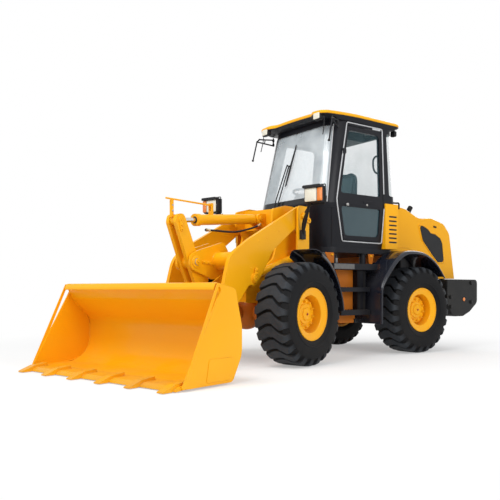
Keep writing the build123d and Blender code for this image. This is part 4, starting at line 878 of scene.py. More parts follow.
# The same black also paints the shade inside the louvre slots.
band_and_slot_shade_black = clouded("black_band", (0.008, 0.009, 0.011), 0.2, 8.0, 5.0, (0.005, 0.0055, 0.007),
               (0.016, 0.017, 0.02), 0.35, specular=0.3)
turn, up = np.meshgrid(np.linspace(-0.83, 0.83, 61), [1816.0, 1835.0, 1856.0, 1878.0])
band_outside, band_inside = cab_front(turn, up, -11), cab_front(turn, up, -13)
band = np.concatenate([band_outside, band_inside[::-1]])
fitted(skin("windshield_band", [rear_half(band).transpose(1, 0, 2)], 40), "rear_body", band_and_slot_shade_black)

# ---- Windshield wiper -------------------------------------------------------------------------
# Parallel-arm wiper pivoted on the sill right of the middle: two pressed arms to a pivot
# block and a long blade parked upright. Black coated steel and rubber.
WIPER_ARMS = [[(-238, 1750), (-196, 1960), (-103, 2333)], [(-172, 1750), (-138, 1930), (-66, 2312)]]
WIPER_BLADE = [(6, 2575), (-36, 2315), (-76, 2056)]


def on_windshield(rows, proud):
    """Points of (left, up) drawn on the front of the cab, moved out by a distance."""
    rows = np.asarray(rows, float)
    front = np.interp(rows[:, 1], CAB_LEVELS, CAB_FRONTS)
    return rear_half(np.column_stack([front + proud, rows[:, 0], rows[:, 1]]))


sheets = [tube(on_windshield(softened(rows, 60), 26), 0.0075, 6) for rows in WIPER_ARMS]
sheets.append(tube(on_windshield(WIPER_BLADE, 20), 0.009, 6, [0.7, 1.25, 0.7]))
sheets.append(tube(on_windshield([(3, 2560), (-36, 2315), (-74, 2068)], 6), 0.004, 4))
sheets.append(tube(on_windshield([(-103, 2333), (-66, 2312), (-36, 2315)], 26), 0.01, 6))
for rows in WIPER_ARMS:
    sheets.append(turning([(0.02, -0.02), (0.02, 0.02), (0.014, 0.026)], on_windshield(rows[:1], 12)[0],
                          [1, 0, 0.08], 16))
fitted(skin("windshield_wiper", sheets, 40), "rear_body", moulded)

# ---- Door furniture ----------------------------------------------------------------------------
# Each door has a flat handle plate, three lock barrels and a round knob outside, and a bent
# tube to pull it shut inside; hinge blocks hold it to the pillar. Bare steel and black.
PULL = [(-706, 2452), (-662, 2438), (-636, 2400), (-630, 2333), (-636, 2268), (-662, 2232), (-706, 2217)]
HINGE_BLOCKS = [(1390, 1434), (2400, 2444)]
KNOB_ROWS = np.array([(15, 0), (15, 3), (9, 5), (9, 9), (17, 12), (17, 19), (13, 22), (4, 23)]) / 1000
LOCK_SPOTS = [(-396, 1838, 11), (-436, 1838, 11), (-417, 1808, 13)]  # forward, up, radius
for name, side in (("left_door", 1), ("right_door", -1)):
    out = np.array([0.0, side, 0.0])
    sheets = []
    inside = np.array([(forward, 0, up) for forward, up in PULL], float)
    inside[:, 1] = np.interp(inside[:, 2], CAB_LEVELS, CAB_HALVES) - np.array([26, 56, 66, 68, 66, 56, 26])
    sheets.append(tube(rear_half(softened(inside, 30), side), 0.012, 10))
    fitted(skin(name + "_pull", sheets, 50), name, moulded)
    sheets = []
    spot = rear_half(cab_side(-79, 1790, 0), side)
    sheets.append(turning(KNOB_ROWS, spot, out, 20))
    for forward, up, radius in LOCK_SPOTS:
        spot = rear_half(cab_side(forward, up, 0), side)
        rows = [(radius, 0), (radius, 3), (radius * 0.8, 5), (radius * 0.35, 5), (radius * 0.3, 3.6)]
        sheets.append(turning(np.array(rows) / 1000, spot, out, 18))
    fitted(skin(name + "_lock", sheets, 40), name, turned_steel)
    handle = rounded([(-500, 1822, 10), (-500, 1858, 10), (-352, 1858, 10), (-352, 1822, 10)])
    sheets = [slab(handle, side * 645, side * 653, 3, rear_side)]
    for low_up, high_up in HINGE_BLOCKS:
        corners = [(-86, low_up - 6, 6), (-86, high_up + 6, 6), (-58, high_up + 6, 6), (-58, low_up - 6, 6)]
        sheets.append(slab(rounded(corners), side * 612, side * 626, 2, rear_side))
        sheets.append(turning([(0.007, -0.008), (0.012, -0.006),
                               (0.012, high_up / 1000 - low_up / 1000 + 0.006),
                               (0.007, high_up / 1000 - low_up / 1000 + 0.01)],
                              rear_half([-48, side * 627, low_up]), [0, 0, 1], 16))
    fitted(skin(name + "_hinges", sheets, 40), name, satin_black)

# ---- Roof lamps, headlamps and mirrors -----------------------------------------------------------
# Work lamps are black moulded pods with ribbed cream lenses; the headlamps on the tower add an
# amber side lens. Bent mirror arms stand off the pillars, with no heads.
LAMP_PODS = [  # forward low and high, left low and high, up low and high, lens side
    (205, 262, 430, 556, 2766, 2856, 1), (-1082, -1036, 462, 538, 2748, 2822, -1),
]


def casing(low, high, corner, edge, facing=1, swell=0.0):
    """Rounded box in millimetres whose front bulges along forward: rings from its back to its front."""
    low, high = np.asarray(low, float), np.asarray(high, float)
    middle, size = (low + high) / 2, (high - low) / 2
    corners = [(-size[1], -size[2], corner), (size[1], -size[2], corner), (size[1], size[2], corner),
               (-size[1], size[2], corner)]
    outline = rounded(corners, 6)
    steps = np.array([0.0, 0.3, 0.7, 1.0])
    inset = edge * (1 - np.sin(steps * math.pi / 2))
    start = edge * (1 - np.cos(steps * math.pi / 2))
    depths = np.concatenate([-size[0] + start, [0], size[0] - start[::-1]])
    insets = np.concatenate([inset, [0], inset[::-1]])
    rings = []
    for depth, taken in zip(depths, insets):
        scale = 1 - taken / size[1:]
        rings.append(np.column_stack([np.full(len(outline), facing * depth), outline * scale]))
    if swell:
        for share, out in ((0.8, 0.45), (0.5, 0.8), (0.2, 0.97)):
            scale = (1 - edge / size[1:]) * share
            rings.append(np.column_stack([np.full(len(outline), facing * (size[0] + swell * out)),
                                          outline * scale]))
    return np.stack(rings) + middle


def fluted(name, colour, pale, deep, way, scale):
    """Moulded lens with straight flutes across one axis, pale on their tops and deep between."""
    lens, tree, shader = dressed(name, colour, 0.15, coat=0.4, specular=0.5)
    flutes = wired(tree, "ShaderNodeTexWave", wave_type="BANDS", bands_direction=way,
                   in_Vector=object_place(tree), in_Scale=scale).outputs["Fac"]
    dusted(tree, shader, blended(tree, flutes, (*pale, 1), (*deep, 1)), 0.15, 0.3)
    bumped(tree, shader, flutes, 0.5, 0.002)
    return lens


lens_cream = fluted("cream_lens", (0.78, 0.76, 0.62), (0.9, 0.88, 0.78), (0.62, 0.6, 0.46), "Y", 28.0)
lens_amber = fluted("amber_lens", (0.85, 0.2, 0.02), (0.95, 0.33, 0.03), (0.6, 0.1, 0.01), "Z", 40.0)
pods, lenses = [], []
for back, front, left_low, left_high, low, high, facing in LAMP_PODS:
    for side in (1, -1):
        pods.append(rear_half(casing((back, left_low, low), (front, left_high, high), 22, 10, facing), side))
        face = front if facing > 0 else back
        near, far = sorted((face - facing * 6, face + facing * 5))
        grid = casing((near, left_low + 12, low + 10), (far, left_high - 12, high - 10), 14, 3, facing, 4)
        lenses.append(rear_half(grid, side))
fitted(skin("roof_lamp_pods", pods, 40), "rear_body", moulded)
fitted(skin("roof_lamp_lenses", lenses, 40), "rear_body", lens_cream, ["roof_lamps"])
housings, lenses, side_lenses = [], [], []
for side in (1, -1):
    housings.append(front_half(casing((846, 636, 1712), (944, 862, 1894), 26, 16), side))
    hood_rim = rounded([(632, 1872, 8), (632, 1902, 16), (866, 1902, 16), (866, 1872, 8)])
    rim = np.stack([np.column_stack([np.full(len(hood_rim), depth), hood_rim])
                    for depth in (905, 930, 968, 970)])
    housings.append(front_half(rim, side))
    lenses.append(front_half(casing((936, 650, 1728), (950, 800, 1870), 14, 4, 1, 9), side))
    side_lenses.append(front_half(casing((928, 806, 1728), (952, 866, 1870), 12, 8, 1, 4), side))
    bracket = softened([(800, side * 560, 1640), (850, side * 640, 1690), (888, side * 700, 1716)], 40)
    housings.append(tube(front_half(bracket), 0.014, 10))
    leg = softened([(732, side * 476, 1400), (770, side * 500, 1520), (815, side * 590, 1640),
                    (852, side * 640, 1700)], 60)
    housings.append(tube(front_half(leg), 0.016, 10))
    frame_loop = softened([(880, side * 628, 1700), (880, side * 628, 1908), (880, side * 870, 1908),
                           (880, side * 870, 1700), (880, side * 628, 1700)], 14)
    housings.append(tube(front_half(frame_loop), 0.006, 8))
fitted(skin("headlamp_housings", housings, 40), "front_body", moulded)
fitted(skin("headlamp_lenses", lenses, 40), "front_body", lens_cream)
fitted(skin("headlamp_side_lenses", side_lenses, 40), "front_body", lens_amber)
sheets = []
for side in (1, -1):
    sheets.append(tube(rear_half([(130, 656, 2765), (135, 664, 2714)], side), 0.0065))
    stay = softened([(215, 575, 2790), (222, 580, 2700), (250, 590, 2580)], 60)
    sheets.append(tube(rear_half(stay, side), 0.0055))
    ball = [(0.004, -0.014), (0.012, -0.01), (0.016, 0), (0.012, 0.01), (0.004, 0.014)]
    sheets.append(turning(ball, rear_half([280, 725, 2484], side), [0, 0, 1], 16))
    for clamp in ((30, 607, 2700), (30, 607, 2757)):
        sheets.append(turning([(0.0095, -0.018), (0.015, -0.016), (0.015, 0.016), (0.0095, 0.018)],
                              rear_half(clamp, side), [0, 0, 1], 16))
fitted(skin("mirror_arms", sheets, 40), "rear_body", moulded)

# ---- Roof ------------------------------------------------------------------------------------------
# A crowned yellow cap, drooping at its front corners, on a black underside that slopes in to
# the cab; two lugs reach forward over the work lamps. Below it come the rear lamps' brackets
# and, on each side of the cab, a blank plate, a ledge strip and a pillar seam.
ROOF_EDGE = [  # forward, left, corner radius
    (-1082, -604, 90), (-300, -628, 900), (205, -616, 70), (262, -560, 40), (262, -425, 60),
    (206, -330, 60), (206, 330, 60), (262, 425, 60), (262, 560, 40), (205, 616, 70),
    (-300, 628, 900), (-1082, 604, 90),
]
ROOF_MIDDLE, ROOF_REACH = np.array([-410, 0]), np.array([670.0, 615.0])
CAP_RINGS = [  # drawn in by, up
    (30, 2852), (2, 2850), (-2, 2856), (-3, 2868), (1, 2879), (9, 2887), (24, 2892), (70, 2897),
    (180, 2902), (330, 2905), (520, 2906),
]
edge = rounded(ROOF_EDGE, 7)
spread = np.linspace(0, 1, 4, endpoint=False)[:, None, None]
edge = (edge + (np.roll(edge, -1, 0) - edge) * spread).transpose(1, 0, 2).reshape(-1, 2)
droop = 22 * np.clip((edge[:, 0] + 350) / 600, 0, 1) ** 2 * (np.abs(edge[:, 1]) / 620) ** 2


def roof_ring(inset, up):
    """The roof's edge drawn in evenly towards its middle; the corners' droop fades to none at 400 in."""
    scale = 1 - inset / ROOF_REACH
    ring = (edge - ROOF_MIDDLE) * scale + ROOF_MIDDLE
    return np.column_stack([ring, up - droop * np.clip(1 - inset / 400, 0, 1)])


cap = np.stack([roof_ring(inset, up) for inset, up in CAP_RINGS])
cap_inside = np.stack([roof_ring(inset, 2853) for inset in (520, 200)])
fitted(skin("roof_cap", [rear_half(np.concatenate([cap_inside, cap]))], 60), "rear_body",
       yellow, ["cab_roof"])
wall_top = np.column_stack([np.clip(edge[:, 0], -958, 86), np.clip(edge[:, 1], -584, 584),
                            np.full(len(edge), 2791.0)])
rings = [roof_ring(8, 2853), roof_ring(2, 2849), roof_ring(0, 2842), roof_ring(4, 2835)]
rings += [rings[-1] + (wall_top - rings[-1]) * share for share in (0.35, 0.7, 1.0)]
fitted(skin("roof_underside", [rear_half(np.stack(rings[::-1]))], 50), "rear_body",
       satin_black, ["roof_frame"])
brackets, plates = [], []
for side in (1, -1):
    corners = [(-1066, 2815, 3), (-1050, 2815, 3), (-1044, 2850, 3), (-1072, 2850, 3)]
    brackets.append(slab(rounded(corners, 3), side * 480, side * 520, 2, rear_side))
    blank = np.array([(-714, 2752), (-714, 2774), (-572, 2774), (-572, 2752)], float)
    near_face, far_face = cab_side(blank[:, 0], blank[:, 1], 1), cab_side(blank[:, 0], blank[:, 1], 4)
    plates.append(rear_half(np.stack([near_face, far_face]), side))
    ledge = cab_side(np.linspace(104, 196, 12), np.full(12, 1748), 3)
    brackets.append(tube(rear_half(ledge, side), 0.004, 6))
    seam_up = np.linspace(1300, 1745, 16)
    seam = cab_side(np.interp(seam_up, [1300, 1745], [96, 146]), seam_up, 2)
    brackets.append(tube(rear_half(seam, side), 0.0035, 6))
fitted(skin("cab_seams", brackets, 50), "rear_body", satin_black)
fitted(skin("blank_plates", plates, 40), "rear_body", seal_grey)

# ---- Louvres of the rear corner panels --------------------------------------------------------
# Seven pressed slots in each side panel behind the doors, each under a raised hood pressed from
# the same sheet; a flat black plate in each slot is painted shade for its dark inside.
SLOT_LOW, SLOT_HIGH = -930, -792
SLOT_LEVELS = [1694, 1641, 1588, 1535, 1483, 1430, 1377]
slots, hoods = [], []
for up in SLOT_LEVELS:
    corners = [(SLOT_LOW, up - 11, 8), (SLOT_LOW, up + 11, 8), (SLOT_HIGH, up + 11, 8),
               (SLOT_HIGH, up - 11, 8)]
    hood_corners = [(SLOT_LOW - 4, up + 7, 3), (SLOT_LOW - 4, up + 17, 5), (SLOT_HIGH + 4, up + 17, 5),
                    (SLOT_HIGH + 4, up + 7, 3)]
    for side in (1, -1):
        # Flat dark plates: painted shade standing for the inside of the slots.
        slots.append(slab(rounded(corners), side * 663, side * 665.5, 0.5, rear_side))
        hoods.append(slab(rounded(hood_corners), side * 663, side * 671, 3, rear_side))
fitted(skin("louvre_slots", slots), "rear_body", band_and_slot_shade_black)
fitted(skin("louvre_hoods", hoods, 50), "rear_body", yellow)

# ---- Hood trim and rear grille ----------------------------------------------------------------
# A raised rim frames each side grille, a latch sits above it, and the rear face carries a
# framed grille of flat bars; the exhaust tip leans back and bent handles stand behind the cab.
GRILLE_RIM = [  # forward, up, corner radius
    (-1574, 1655, 16), (-1668, 1650, 16), (-1778, 1608, 20), (-1830, 1561, 20), (-1926, 1550, 20),
    (-2040, 1498, 50), (-2084, 1428, 50), (-2118, 1160, 18), (-1974, 1156, 16), (-1872, 1238, 24),
    (-1640, 1455, 24),
]
GRILLE_BAR_COUNT = 13
outline = rounded(GRILLE_RIM, 7)
sheets, dark, handles = [], [], []
for side in (1, -1):
    rim_path = np.column_stack([outline[:, 0], np.full(len(outline), side * 481.0), outline[:, 1]])
    rim_path = np.concatenate([rim_path, rim_path[:2]])
    sheets.append(tube(rear_half(rim_path), 0.008, 8))
    crease = softened([(-1040, side * 481, 1340), (-1440, side * 481, 1330), (-1640, side * 481, 1150),
                       (-1760, side * 481, 955)], 150)
    sheets.append(tube(rear_half(crease), 0.003, 6))
    latch = rounded([(-1950, 1628, 8), (-1950, 1652, 8), (-1888, 1660, 8), (-1888, 1636, 8)])
    dark.append(slab(latch, side * 479, side * 489, 3, rear_side))
    handle = softened([(-1021, side * 590, 1886), (-1040, side * 592, 1890), (-1058, side * 592, 1880),
                       (-1060, side * 590, 1812)], 14)
    handle = np.concatenate([[(-958, side * 588, 1884)], handle])
    handles.append(tube(rear_half(handle), 0.011, 10))


def hood_back(left, up, proud):
    """Point on the hood's sloping rear face."""
    left, up = np.broadcast_arrays(np.asarray(left, float), np.asarray(up, float))
    return np.stack([-2245 - 115 * (1573 - up) / 633 - proud, left, up], -1)


for number in range(GRILLE_BAR_COUNT):
    up = 1060 + number * 34
    ring = np.array([[2, -4], [16, -7], [18, 0], [16, 3], [2, 6]])
    bar = np.stack([hood_back(left, up + ring[:, 1], ring[:, 0]) for left in (-330, -110, 110, 330)])
    dark.append(rear_half(bar))
frame_path = hood_back([-340, 340, 340, -340, -340], [1040, 1040, 1490, 1490, 1040], 6)
dark.append(tube(rear_half(softened(frame_path, 40)), 0.012, 8))
backing = np.stack([hood_back(np.linspace(-338, 338, 9), np.full(9, up), 2.5)
                    for up in (1042, 1190, 1340, 1488)])
backing = np.concatenate([backing, backing[::-1] + (1.5, 0, 0)])
dark.append(rear_half(backing).transpose(1, 0, 2))
pipe = softened([(-1700, 200, 1735), (-1706, 200, 1850), (-1750, 200, 1925)], 50)
dark.append(tube(rear_half(pipe), 0.03, 20))
lip = softened([(-1722, 200, 1888), (-1748, 200, 1922), (-1753, 200, 1929)], 4)
dark.append(tube(rear_half(lip), 0.034, 20))
fitted(skin("hood_rims", sheets, 50), "hood", yellow)
fitted(skin("hood_dark_trim", dark, 40), "hood", moulded)
fitted(skin("cab_rear_handles", handles, 50), "rear_body", moulded)

# ---- Counterweight trim ------------------------------------------------------------------------
# Amber side reflectors and red tail lamps in black rims, four big plug bolts on each side
# that hold the casting to the rails, and a tow pin with a bent handle.
REFLECTOR_ROWS = np.array([(26, 0), (26, 4), (22, 7), (12, 8), (3, 8)]) / 1000
TAIL_ROWS = np.array([(52, 0), (52, 14), (46, 20), (20, 24), (4, 25)]) / 1000
PLUG_BOLTS = [(-1900, 560), (-1900, 690), (-2350, 880), (-2350, 620)]
amber, black_rims, red = [], [], []
for side in (1, -1):
    out = np.array([0.0, side, 0.0])
    spot = rear_half([-2192, side * 750, 657])
    amber.append(turning(REFLECTOR_ROWS, spot, out, 24))
    black_rims.append(bead(spot, out, 0.029, 0.005, 32, 8))
    tail = rear_half([-2488, side * 600, 800])
    red.append(turning(TAIL_ROWS, tail, [-1, 0, 0], 28))
    black_rims.append(bead(tail, [-1, 0, 0], 0.056, 0.008, 32, 8))
    for forward, up in PLUG_BOLTS:
        rows = np.array([(30, 0), (30, 3), (24, 5), (24, 16), (20, 19)]) / 1000
        black_rims.append(turning(rows, rear_half([forward, side * 750, up]), out, 6))
black_rims.append(turning([(0.0188, 0), (0.0188, 0.30), (0.03, 0.302), (0.03, 0.312)],
                          rear_half([-2430, 0, 632]), [0, 0, 1], 20))
black_rims.append(tube(rear_half(softened([(-2430, -6, 940), (-2430, -6, 990), (-2430, 60, 1000),
                                           (-2430, 70, 950)], 20)), 0.008, 8))
lens_red, tree, shader = dressed("red_lens", (0.55, 0.02, 0.015), 0.15, coat=0.4, specular=0.5)
place = object_place(tree)
cells = wired(tree, "ShaderNodeTexVoronoi", in_Vector=place, in_Scale=160.0)
tone = blended(tree, cells.outputs["Distance"], (0.65, 0.03, 0.02, 1), (0.3, 0.01, 0.01, 1))
dusted(tree, shader, tone, 0.15, 0.4)
fitted(skin("side_reflectors", amber, 40), "rear_body", lens_amber)
fitted(skin("tail_lamps", red, 40), "rear_body", lens_red)
fitted(skin("counterweight_trim", black_rims, 40), "rear_body", cast_black)

# ---- Fenders ------------------------------------------------------------------------------------
# Pressed sheet over each wheel with rounded shoulders and a rolled rim, sprayed in gloss black
# that mirrors the sky along its crown; flat brackets carry them from the frames.
FENDER_OUTSIDE = 926
FRONT_FENDER = [  # crown x from the axle, crown z, rim x from the axle, rim z
    (-130, 1217, -130, 1140), (-262, 1165, -245, 1078), (-376, 1080, -333, 1005),
    (-448, 985, -421, 900), (-505, 860, -481, 800), (-541, 700, -533, 670),
    (-557, 558, -553, 558),
]
REAR_FENDER = [  # the same columns
    (777, 385, 765, 385), (776, 812, 764, 808), (711, 925, 692, 910), (610, 1054, 592, 1030),
    (486, 1180, 470, 1152), (326, 1262, 316, 1230), (137, 1271, 134, 1238), (-33, 1250, -32, 1218),
    (-157, 1197, -151, 1167), (-284, 1112, -275, 1086), (-413, 957, -404, 938),
]
gloss_black = enamel("black_gloss", (0.008, 0.010, 0.018), (0.010, 0.012, 0.022), (0.06, 0.06, 0.07), 0.2,
                     0.6, 0.3, 0.4, 300.0)
dull_black = enamel("black_underseal", (0.006, 0.006, 0.007), (0.009, 0.009, 0.01), (0.05, 0.05, 0.05), 0.6,
                    0.0, 0.2, 0.5, 90.0, 0.001)


def shoulder(crown, rim, crown_y, rim_y):
    """Quarter ellipse across a fender: crown*cos(t) + rim*(1 - cos(t)) down, while y goes as sin(t)."""
    rows = []
    for turn in np.radians([0, 22, 45, 68, 90]):
        row = crown + (rim - crown) * (1 - math.cos(turn))
        row[:, 1] = crown_y + (rim_y - crown_y) * math.sin(turn)
        rows.append(row)
    return rows


for name, half, rows, axle_x, inner_rim, crown_low, crown_high, body, brackets in (
        ("front_fender", front_half, FRONT_FENDER, HINGE_TO_AXLE, 500, 570, 800, "front_body",
         [(900, 1015, 275, 500, 903, 932), (905, 1012, 478, 494, 905, 1070)]),
        ("rear_fender", rear_half, REAR_FENDER, -HINGE_TO_AXLE, 490, 490, 880, "rear_body",
         [(-520, -430, 405, 500, 935, 965), (-1200, -1150, 405, 500, 845, 1230)])):
    crown = softened([(axle_x + x, 0, z) for x, z, _, _ in rows], 120, 7)
    rim = softened([(axle_x + x, 0, z) for _, _, x, z in rows], 110, 7)
    inward = unit(np.array([axle_x, 0, WHEEL_HEIGHT]) - crown) * 8
    low_y, edge_y = np.full(len(crown), float(crown_low)), np.full(len(crown), float(inner_rim))
    if half is rear_half:
        beside_cab = (crown[:, 0] > -985) & (crown[:, 0] < -590)
        low_y[beside_cab] = edge_y[beside_cab] = 614
    inner = crown if half is rear_half else rim
    across = shoulder(crown, inner, low_y, edge_y)[::-1] + shoulder(crown, rim, crown_high, FENDER_OUTSIDE)
    section = np.stack(across + [row + inward for row in across[::-1]], 1)
    sheets, rims, holders = [], [], []
    for side in (1, -1):
        sheets.append(half(section, side))
        rim_line = (rim + inward * 0.5) * (1, 0, 1) + (0, side * (FENDER_OUTSIDE - 5), 0)
        rims.append(tube(half(rim_line), 0.0085, 10))
        for x_low, x_high, y_low, y_high, z_low, z_high in brackets:
            corners = [(x_low, z_low, 6), (x_high, z_low, 6), (x_high, z_high, 6), (x_low, z_high, 6)]
            stand = front_side if half is front_half else rear_side
            holders.append(slab(rounded(corners, 3), side * y_low, side * y_high, 2, stand))
    fitted(skin(name + "_sheets", sheets, 40), body, gloss_black, [name + "s"])
    fitted(skin(name + "_rims", rims, 60), body, gloss_black)
    fitted(skin(name + "_brackets", holders, 40), body, dull_black)

# ---- Platform, steps and cab mounts -------------------------------------------------------------
# Rubber cab mounts stand behind plates in the darker orange of painted shade, with yellow bolts;
# the platform has a grey edge at the door, partly scraped steel and partly a painted highlight
# where the light catches it, and a plain cover; the two treads have rows of pressed grip buttons,
# and each side tank has a round cap and two straps.
MOUNT_PLATES = [[(88, 1093, 6), (150, 1093, 6), (232, 1222, 6), (86, 1222, 6)],
                [(-552, 1093, 6), (-500, 1093, 6), (-484, 1222, 6), (-584, 1222, 6)]]
MOUNT_BOLTS = [(122, 1196), (-530, 1196)]
# Grey of the platform's front edge: scraped steel together with a painted highlight of the lit edge.
worn_and_lit_grey, tree, shader = dressed("worn_grey_steel", (0.12, 0.12, 0.12), 0.45, 0.3, specular=0.3)
place = object_place(tree)
scrape = wired(tree, "ShaderNodeTexNoise", in_Vector=place, in_Scale=35.0, in_Detail=6.0, in_Roughness=0.7)
tone = blended(tree, scrape, (0.07, 0.07, 0.072, 1), (0.2, 0.195, 0.19, 1))
dusted(tree, shader, tone, 0.4, 0.5)
plates, bolts, covers, edges_grey = [], [], [], []
for side in (1, -1):
    for corners in MOUNT_PLATES:
        plates.append(slab(rounded(corners), side * 598, side * 607, 2, rear_side))
    for forward, up in MOUNT_BOLTS:
        bolts.append(turning(BOLT_ROWS, rear_half([forward, side * 607, up]), [0, side, 0], 6))
    grey_edge = [(-89, 1026, 5), (232, 1026, 5), (232, 1086, 5), (-89, 1086, 5)]
    edges_grey.append(slab(rounded(grey_edge), side * 759, side * 764, 1.5, rear_side))
    cover = np.array([(-470, 492), (116, 492), (236, 578), (236, 748), (-470, 748)], float)
    cover = np.column_stack([cover[:, 0], cover[:, 1] * side, np.full(5, 1091.0)])
    covers.append(rear_half(np.stack([cover, cover + (0, 0, 4)])))
    for up in (814, 551):
        for forward in np.linspace(-320, 90, 9):
            for left in (640, 685, 730):
                spot = rear_half([forward, side * left, up - 1])
                covers.append(turning([(0.011, 0), (0.010, 0.004), (0.006, 0.0055)], spot, [0, 0, 1], 8))
    for level in (1213, 1091):
        for post in (70, -430):
            covers.append(turning([(0.052, 0), (0.052, 0.008), (0.046, 0.012)],
                                  rear_half([post, side * 560, level]), [0, 0, 1], 20))
    tank_cap = [(0.034, 0), (0.034, 0.02), (0.03, 0.026), (0.012, 0.028)]
    covers.append(turning(tank_cap, rear_half([-130, side * 540, 1014]), [0, 0, 1], 20))
    for forward in (-320, -240):
        strap = rounded([(forward - 14, 500, 4), (forward + 14, 500, 4), (forward + 14, 1010, 4),
                         (forward - 14, 1010, 4)], 3)
        covers.append(slab(strap, side * 689, side * 694, 1.5, rear_side))
# The mount plates take the darker orange that paints in the shade they sit in.
fitted(skin("cab_mount_plates", plates, 40), "rear_body", chassis_orange_painted_shade)
fitted(skin("cab_mount_bolts", bolts, 40), "rear_body", yellow)
fitted(skin("platform_covers", covers, 40), "rear_body", dull_black)
fitted(skin("platform_edges", edges_grey, 40), "rear_body", worn_and_lit_grey)

# ---- Inside the cab ------------------------------------------------------------------------------
# Control levers with round knobs on the console, an instrument pod ahead of the steering wheel,
# and a rubber mat. Black moulding with pale lever rods.
sheets, rods = [], []
for forward, left, lean in ((-180, -350, 20), (-240, -380, 0), (-240, -330, -10)):
    base, top = (forward, left, 1878), (forward + lean, left, 2010)
    rods.append(tube(rear_half([base, top]), 0.006, 8))
    ball = [(0.006, 0), (0.016, 0.006), (0.021, 0.018), (0.021, 0.03), (0.014, 0.042), (0.004, 0.046)]
    sheets.append(turning(ball, rear_half(top), [0, 0, 1], 16))
    sheets.append(turning([(0.034, 0), (0.03, 0.02), (0.012, 0.045)], rear_half((forward, left, 1878)),
                          [0, 0, 1], 16))
sheets.append(rear_half(casing((-20, -150, 1862), (70, 150, 1965), 30, 18)))
mat = np.array([(-580, -280), (120, -280), (120, 520), (-580, 520)], float)
mat = np.column_stack([mat, np.full(4, 1290.0)])
sheets.append(rear_half(np.stack([mat, mat + (0, 0, 8)])))
fitted(skin("cab_controls", sheets, 40), "rear_body", moulded)
fitted(skin("lever_rods", rods, 40), "rear_body", chrome)

# ---- Driver's seat -------------------------------------------------------------------------------
# A suspension seat: black plinth with folded bellows and two bent stays, and foam cushion and
# backrest under dark grey vinyl with a sewn centre panel and side bolsters, swelled as cloth.
SEAT_PADS = [  # name, middle x, y, z, thickness, width, length, backward lean, fill, narrowing
    ("seat_cushion", -412, 0, 1700, 112, 450, 448, 0, 0.7, 0.04),
    ("seat_back", -700, 0, 2030, 96, 428, 600, 10, 0.6, 0.26)]
COVER_FRAMES = 20
BELLOWS = [  # up, half length, half width
    (1290, 200, 180), (1296, 200, 180), (1300, 190, 168), (1478, 190, 168), (1482, 168, 148),
    (1500, 160, 140), (1516, 174, 156), (1534, 158, 138), (1552, 174, 156), (1570, 158, 138),
    (1588, 174, 156), (1606, 158, 138), (1622, 176, 160), (1640, 182, 166),
]
seat_vinyl, tree, shader = dressed("seat_vinyl", (0.03, 0.04, 0.045), 0.5, specular=0.25)
place = object_place(tree)
grain = wired(tree, "ShaderNodeTexVoronoi", in_Vector=place, in_Scale=420.0)
fade = noise(tree, place, 9.0, 4.0)
panel = wired(tree, "ShaderNodeAttribute", attribute_name="centre_panel")
tone = blended(tree, fade, (0.01, 0.022, 0.026, 1), (0.024, 0.044, 0.05, 1))
tone = blended(tree, panel.outputs["Fac"], tone, (0.07, 0.115, 0.125, 1))
dusted(tree, shader, tone, 0.5, 0.2)
bumped(tree, shader, grain.outputs["Distance"], 0.35, 0.0006)


def pad_shape(thick, wide, long, narrowing):
    """Rounded block: outline |x|^5 + |y|^5 = 1 in width and length, edges of power 2.8 in thickness."""
    around, across = np.meshgrid(np.linspace(0, 2 * math.pi, 72, endpoint=False),
                                 np.radians(np.linspace(-89, 89, 19)))
    reach = (np.abs(np.cos(around)) ** 5 + np.abs(np.sin(around)) ** 5) ** -0.2
    pull = 1 - 0.03 * np.cos(2 * around) ** 4
    shrink = np.cos(across) ** 0.36 * pull * reach
    up = np.sin(around) * shrink * long / 2
    width = np.cos(around) * shrink * wide / 2 * (1 - narrowing * np.clip(up / long + 0.05, 0, 1) * 1.8)
    return np.stack([np.sign(np.sin(across)) * np.abs(np.sin(across)) ** 0.36 * thick / 2, width, up], -1)


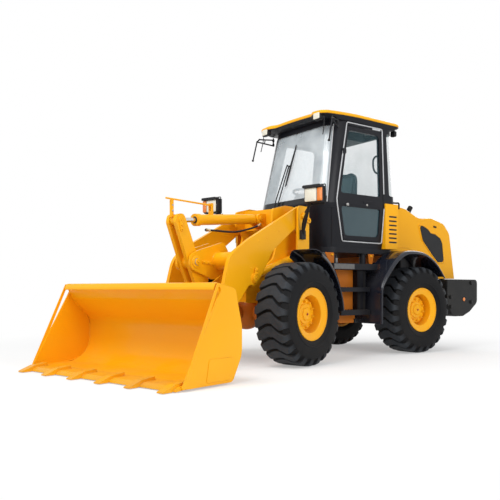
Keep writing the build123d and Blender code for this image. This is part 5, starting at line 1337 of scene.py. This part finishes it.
def swelled(piece, most):
    """Remeshes a pad evenly and blows its cover out as cloth, moving no point further than a limit."""
    evened = piece.modifiers.new("even", "REMESH")
    evened.mode, evened.voxel_size = "VOXEL", 0.007
    bpy.context.view_layer.update()
    even_mesh = bpy.data.meshes.new_from_object(piece.evaluated_get(bpy.context.evaluated_depsgraph_get()))
    piece.modifiers.clear()
    piece.data = even_mesh
    count = len(even_mesh.vertices)
    before = np.empty(count * 3)
    even_mesh.vertices.foreach_get("co", before)
    cloth = piece.modifiers.new("cover", "CLOTH")
    cloth.settings.use_pressure = True
    cloth.settings.uniform_pressure_force = 4.0
    cloth.settings.effector_weights.gravity = 0.0
    cloth.settings.quality = 4
    cloth.point_cache.frame_start, cloth.point_cache.frame_end = 1, COVER_FRAMES
    for frame_number in range(1, COVER_FRAMES + 1):
        scene.frame_set(frame_number)
    swollen = piece.evaluated_get(bpy.context.evaluated_depsgraph_get()).to_mesh()
    after = np.empty(count * 3)
    swollen.vertices.foreach_get("co", after)
    piece.modifiers.clear()
    scene.frame_set(1)
    before, after = before.reshape(-1, 3), after.reshape(-1, 3)
    step = after - before
    length = np.linalg.norm(step, axis=1, keepdims=True)
    return before + step * np.minimum(1, most / np.maximum(length, 1e-9))


for name, x, y, z, thick, wide, long, lean, fill, narrowing in SEAT_PADS:
    pad = skin(name, [pad_shape(thick - 14, wide - 16, long - 16, narrowing) / 1000], 60)
    points = swelled(pad, 0.009)
    inset = np.minimum(wide / 2 - 75 - np.abs(points[:, 1]) * 1000,
                       long / 2 - 80 - np.abs(points[:, 2]) * 1000)
    front = points[:, 0] > 0
    cross_seam = np.exp(-((points[:, 2] * 1000 + 60) / 6) ** 2) * 0.004 * (inset > 0)
    groove = np.exp(-(inset / 7) ** 2) * 0.007 + cross_seam
    points[:, 0] -= np.where(front, groove, 0)
    points[:, 0] += np.where(front, 0.006 * np.clip(-inset / 40, 0, 1), 0)
    tint = pad.data.attributes.new("centre_panel", "FLOAT", "POINT")
    tint.data.foreach_set("value", np.where(front, np.clip(inset / 8, 0, 1), 0).astype(np.float32))
    if lean:
        turn = math.radians(lean)
        points = np.stack([points[:, 0] * math.cos(turn) - points[:, 2] * math.sin(turn), points[:, 1],
                           points[:, 0] * math.sin(turn) + points[:, 2] * math.cos(turn)], 1)
    else:
        points = points[:, [2, 1, 0]] * (1, -1, 1)
    pad.data.vertices.foreach_set("co", rear_half(points * 1000 + (x, y, z)).ravel())
    pad.data.update()
    softer = pad.modifiers.new("soft", "SUBSURF")
    softer.levels = softer.render_levels = 1
    fitted(pad, "rear_body", seat_vinyl, ["operator_seat"])
around = np.linspace(0, 2 * math.pi, 48, endpoint=False)
corner = (np.abs(np.cos(around)) ** 6 + np.abs(np.sin(around)) ** 6) ** (-1 / 6)
rings = np.stack([np.stack([-410 + half_x * corner * np.cos(around), half_y * corner * np.sin(around),
                            np.full(48, up)], 1) for up, half_x, half_y in BELLOWS])
plinth = [rear_half(rings)]
for side in (1, -1):
    stay = softened([(-590, side * 205, 1660), (-700, side * 232, 1760), (-720, side * 236, 1860)], 30)
    plinth.append(tube(rear_half(stay), 0.014, 10))
fitted(skin("seat_plinth", plinth, 50), "rear_body", moulded)
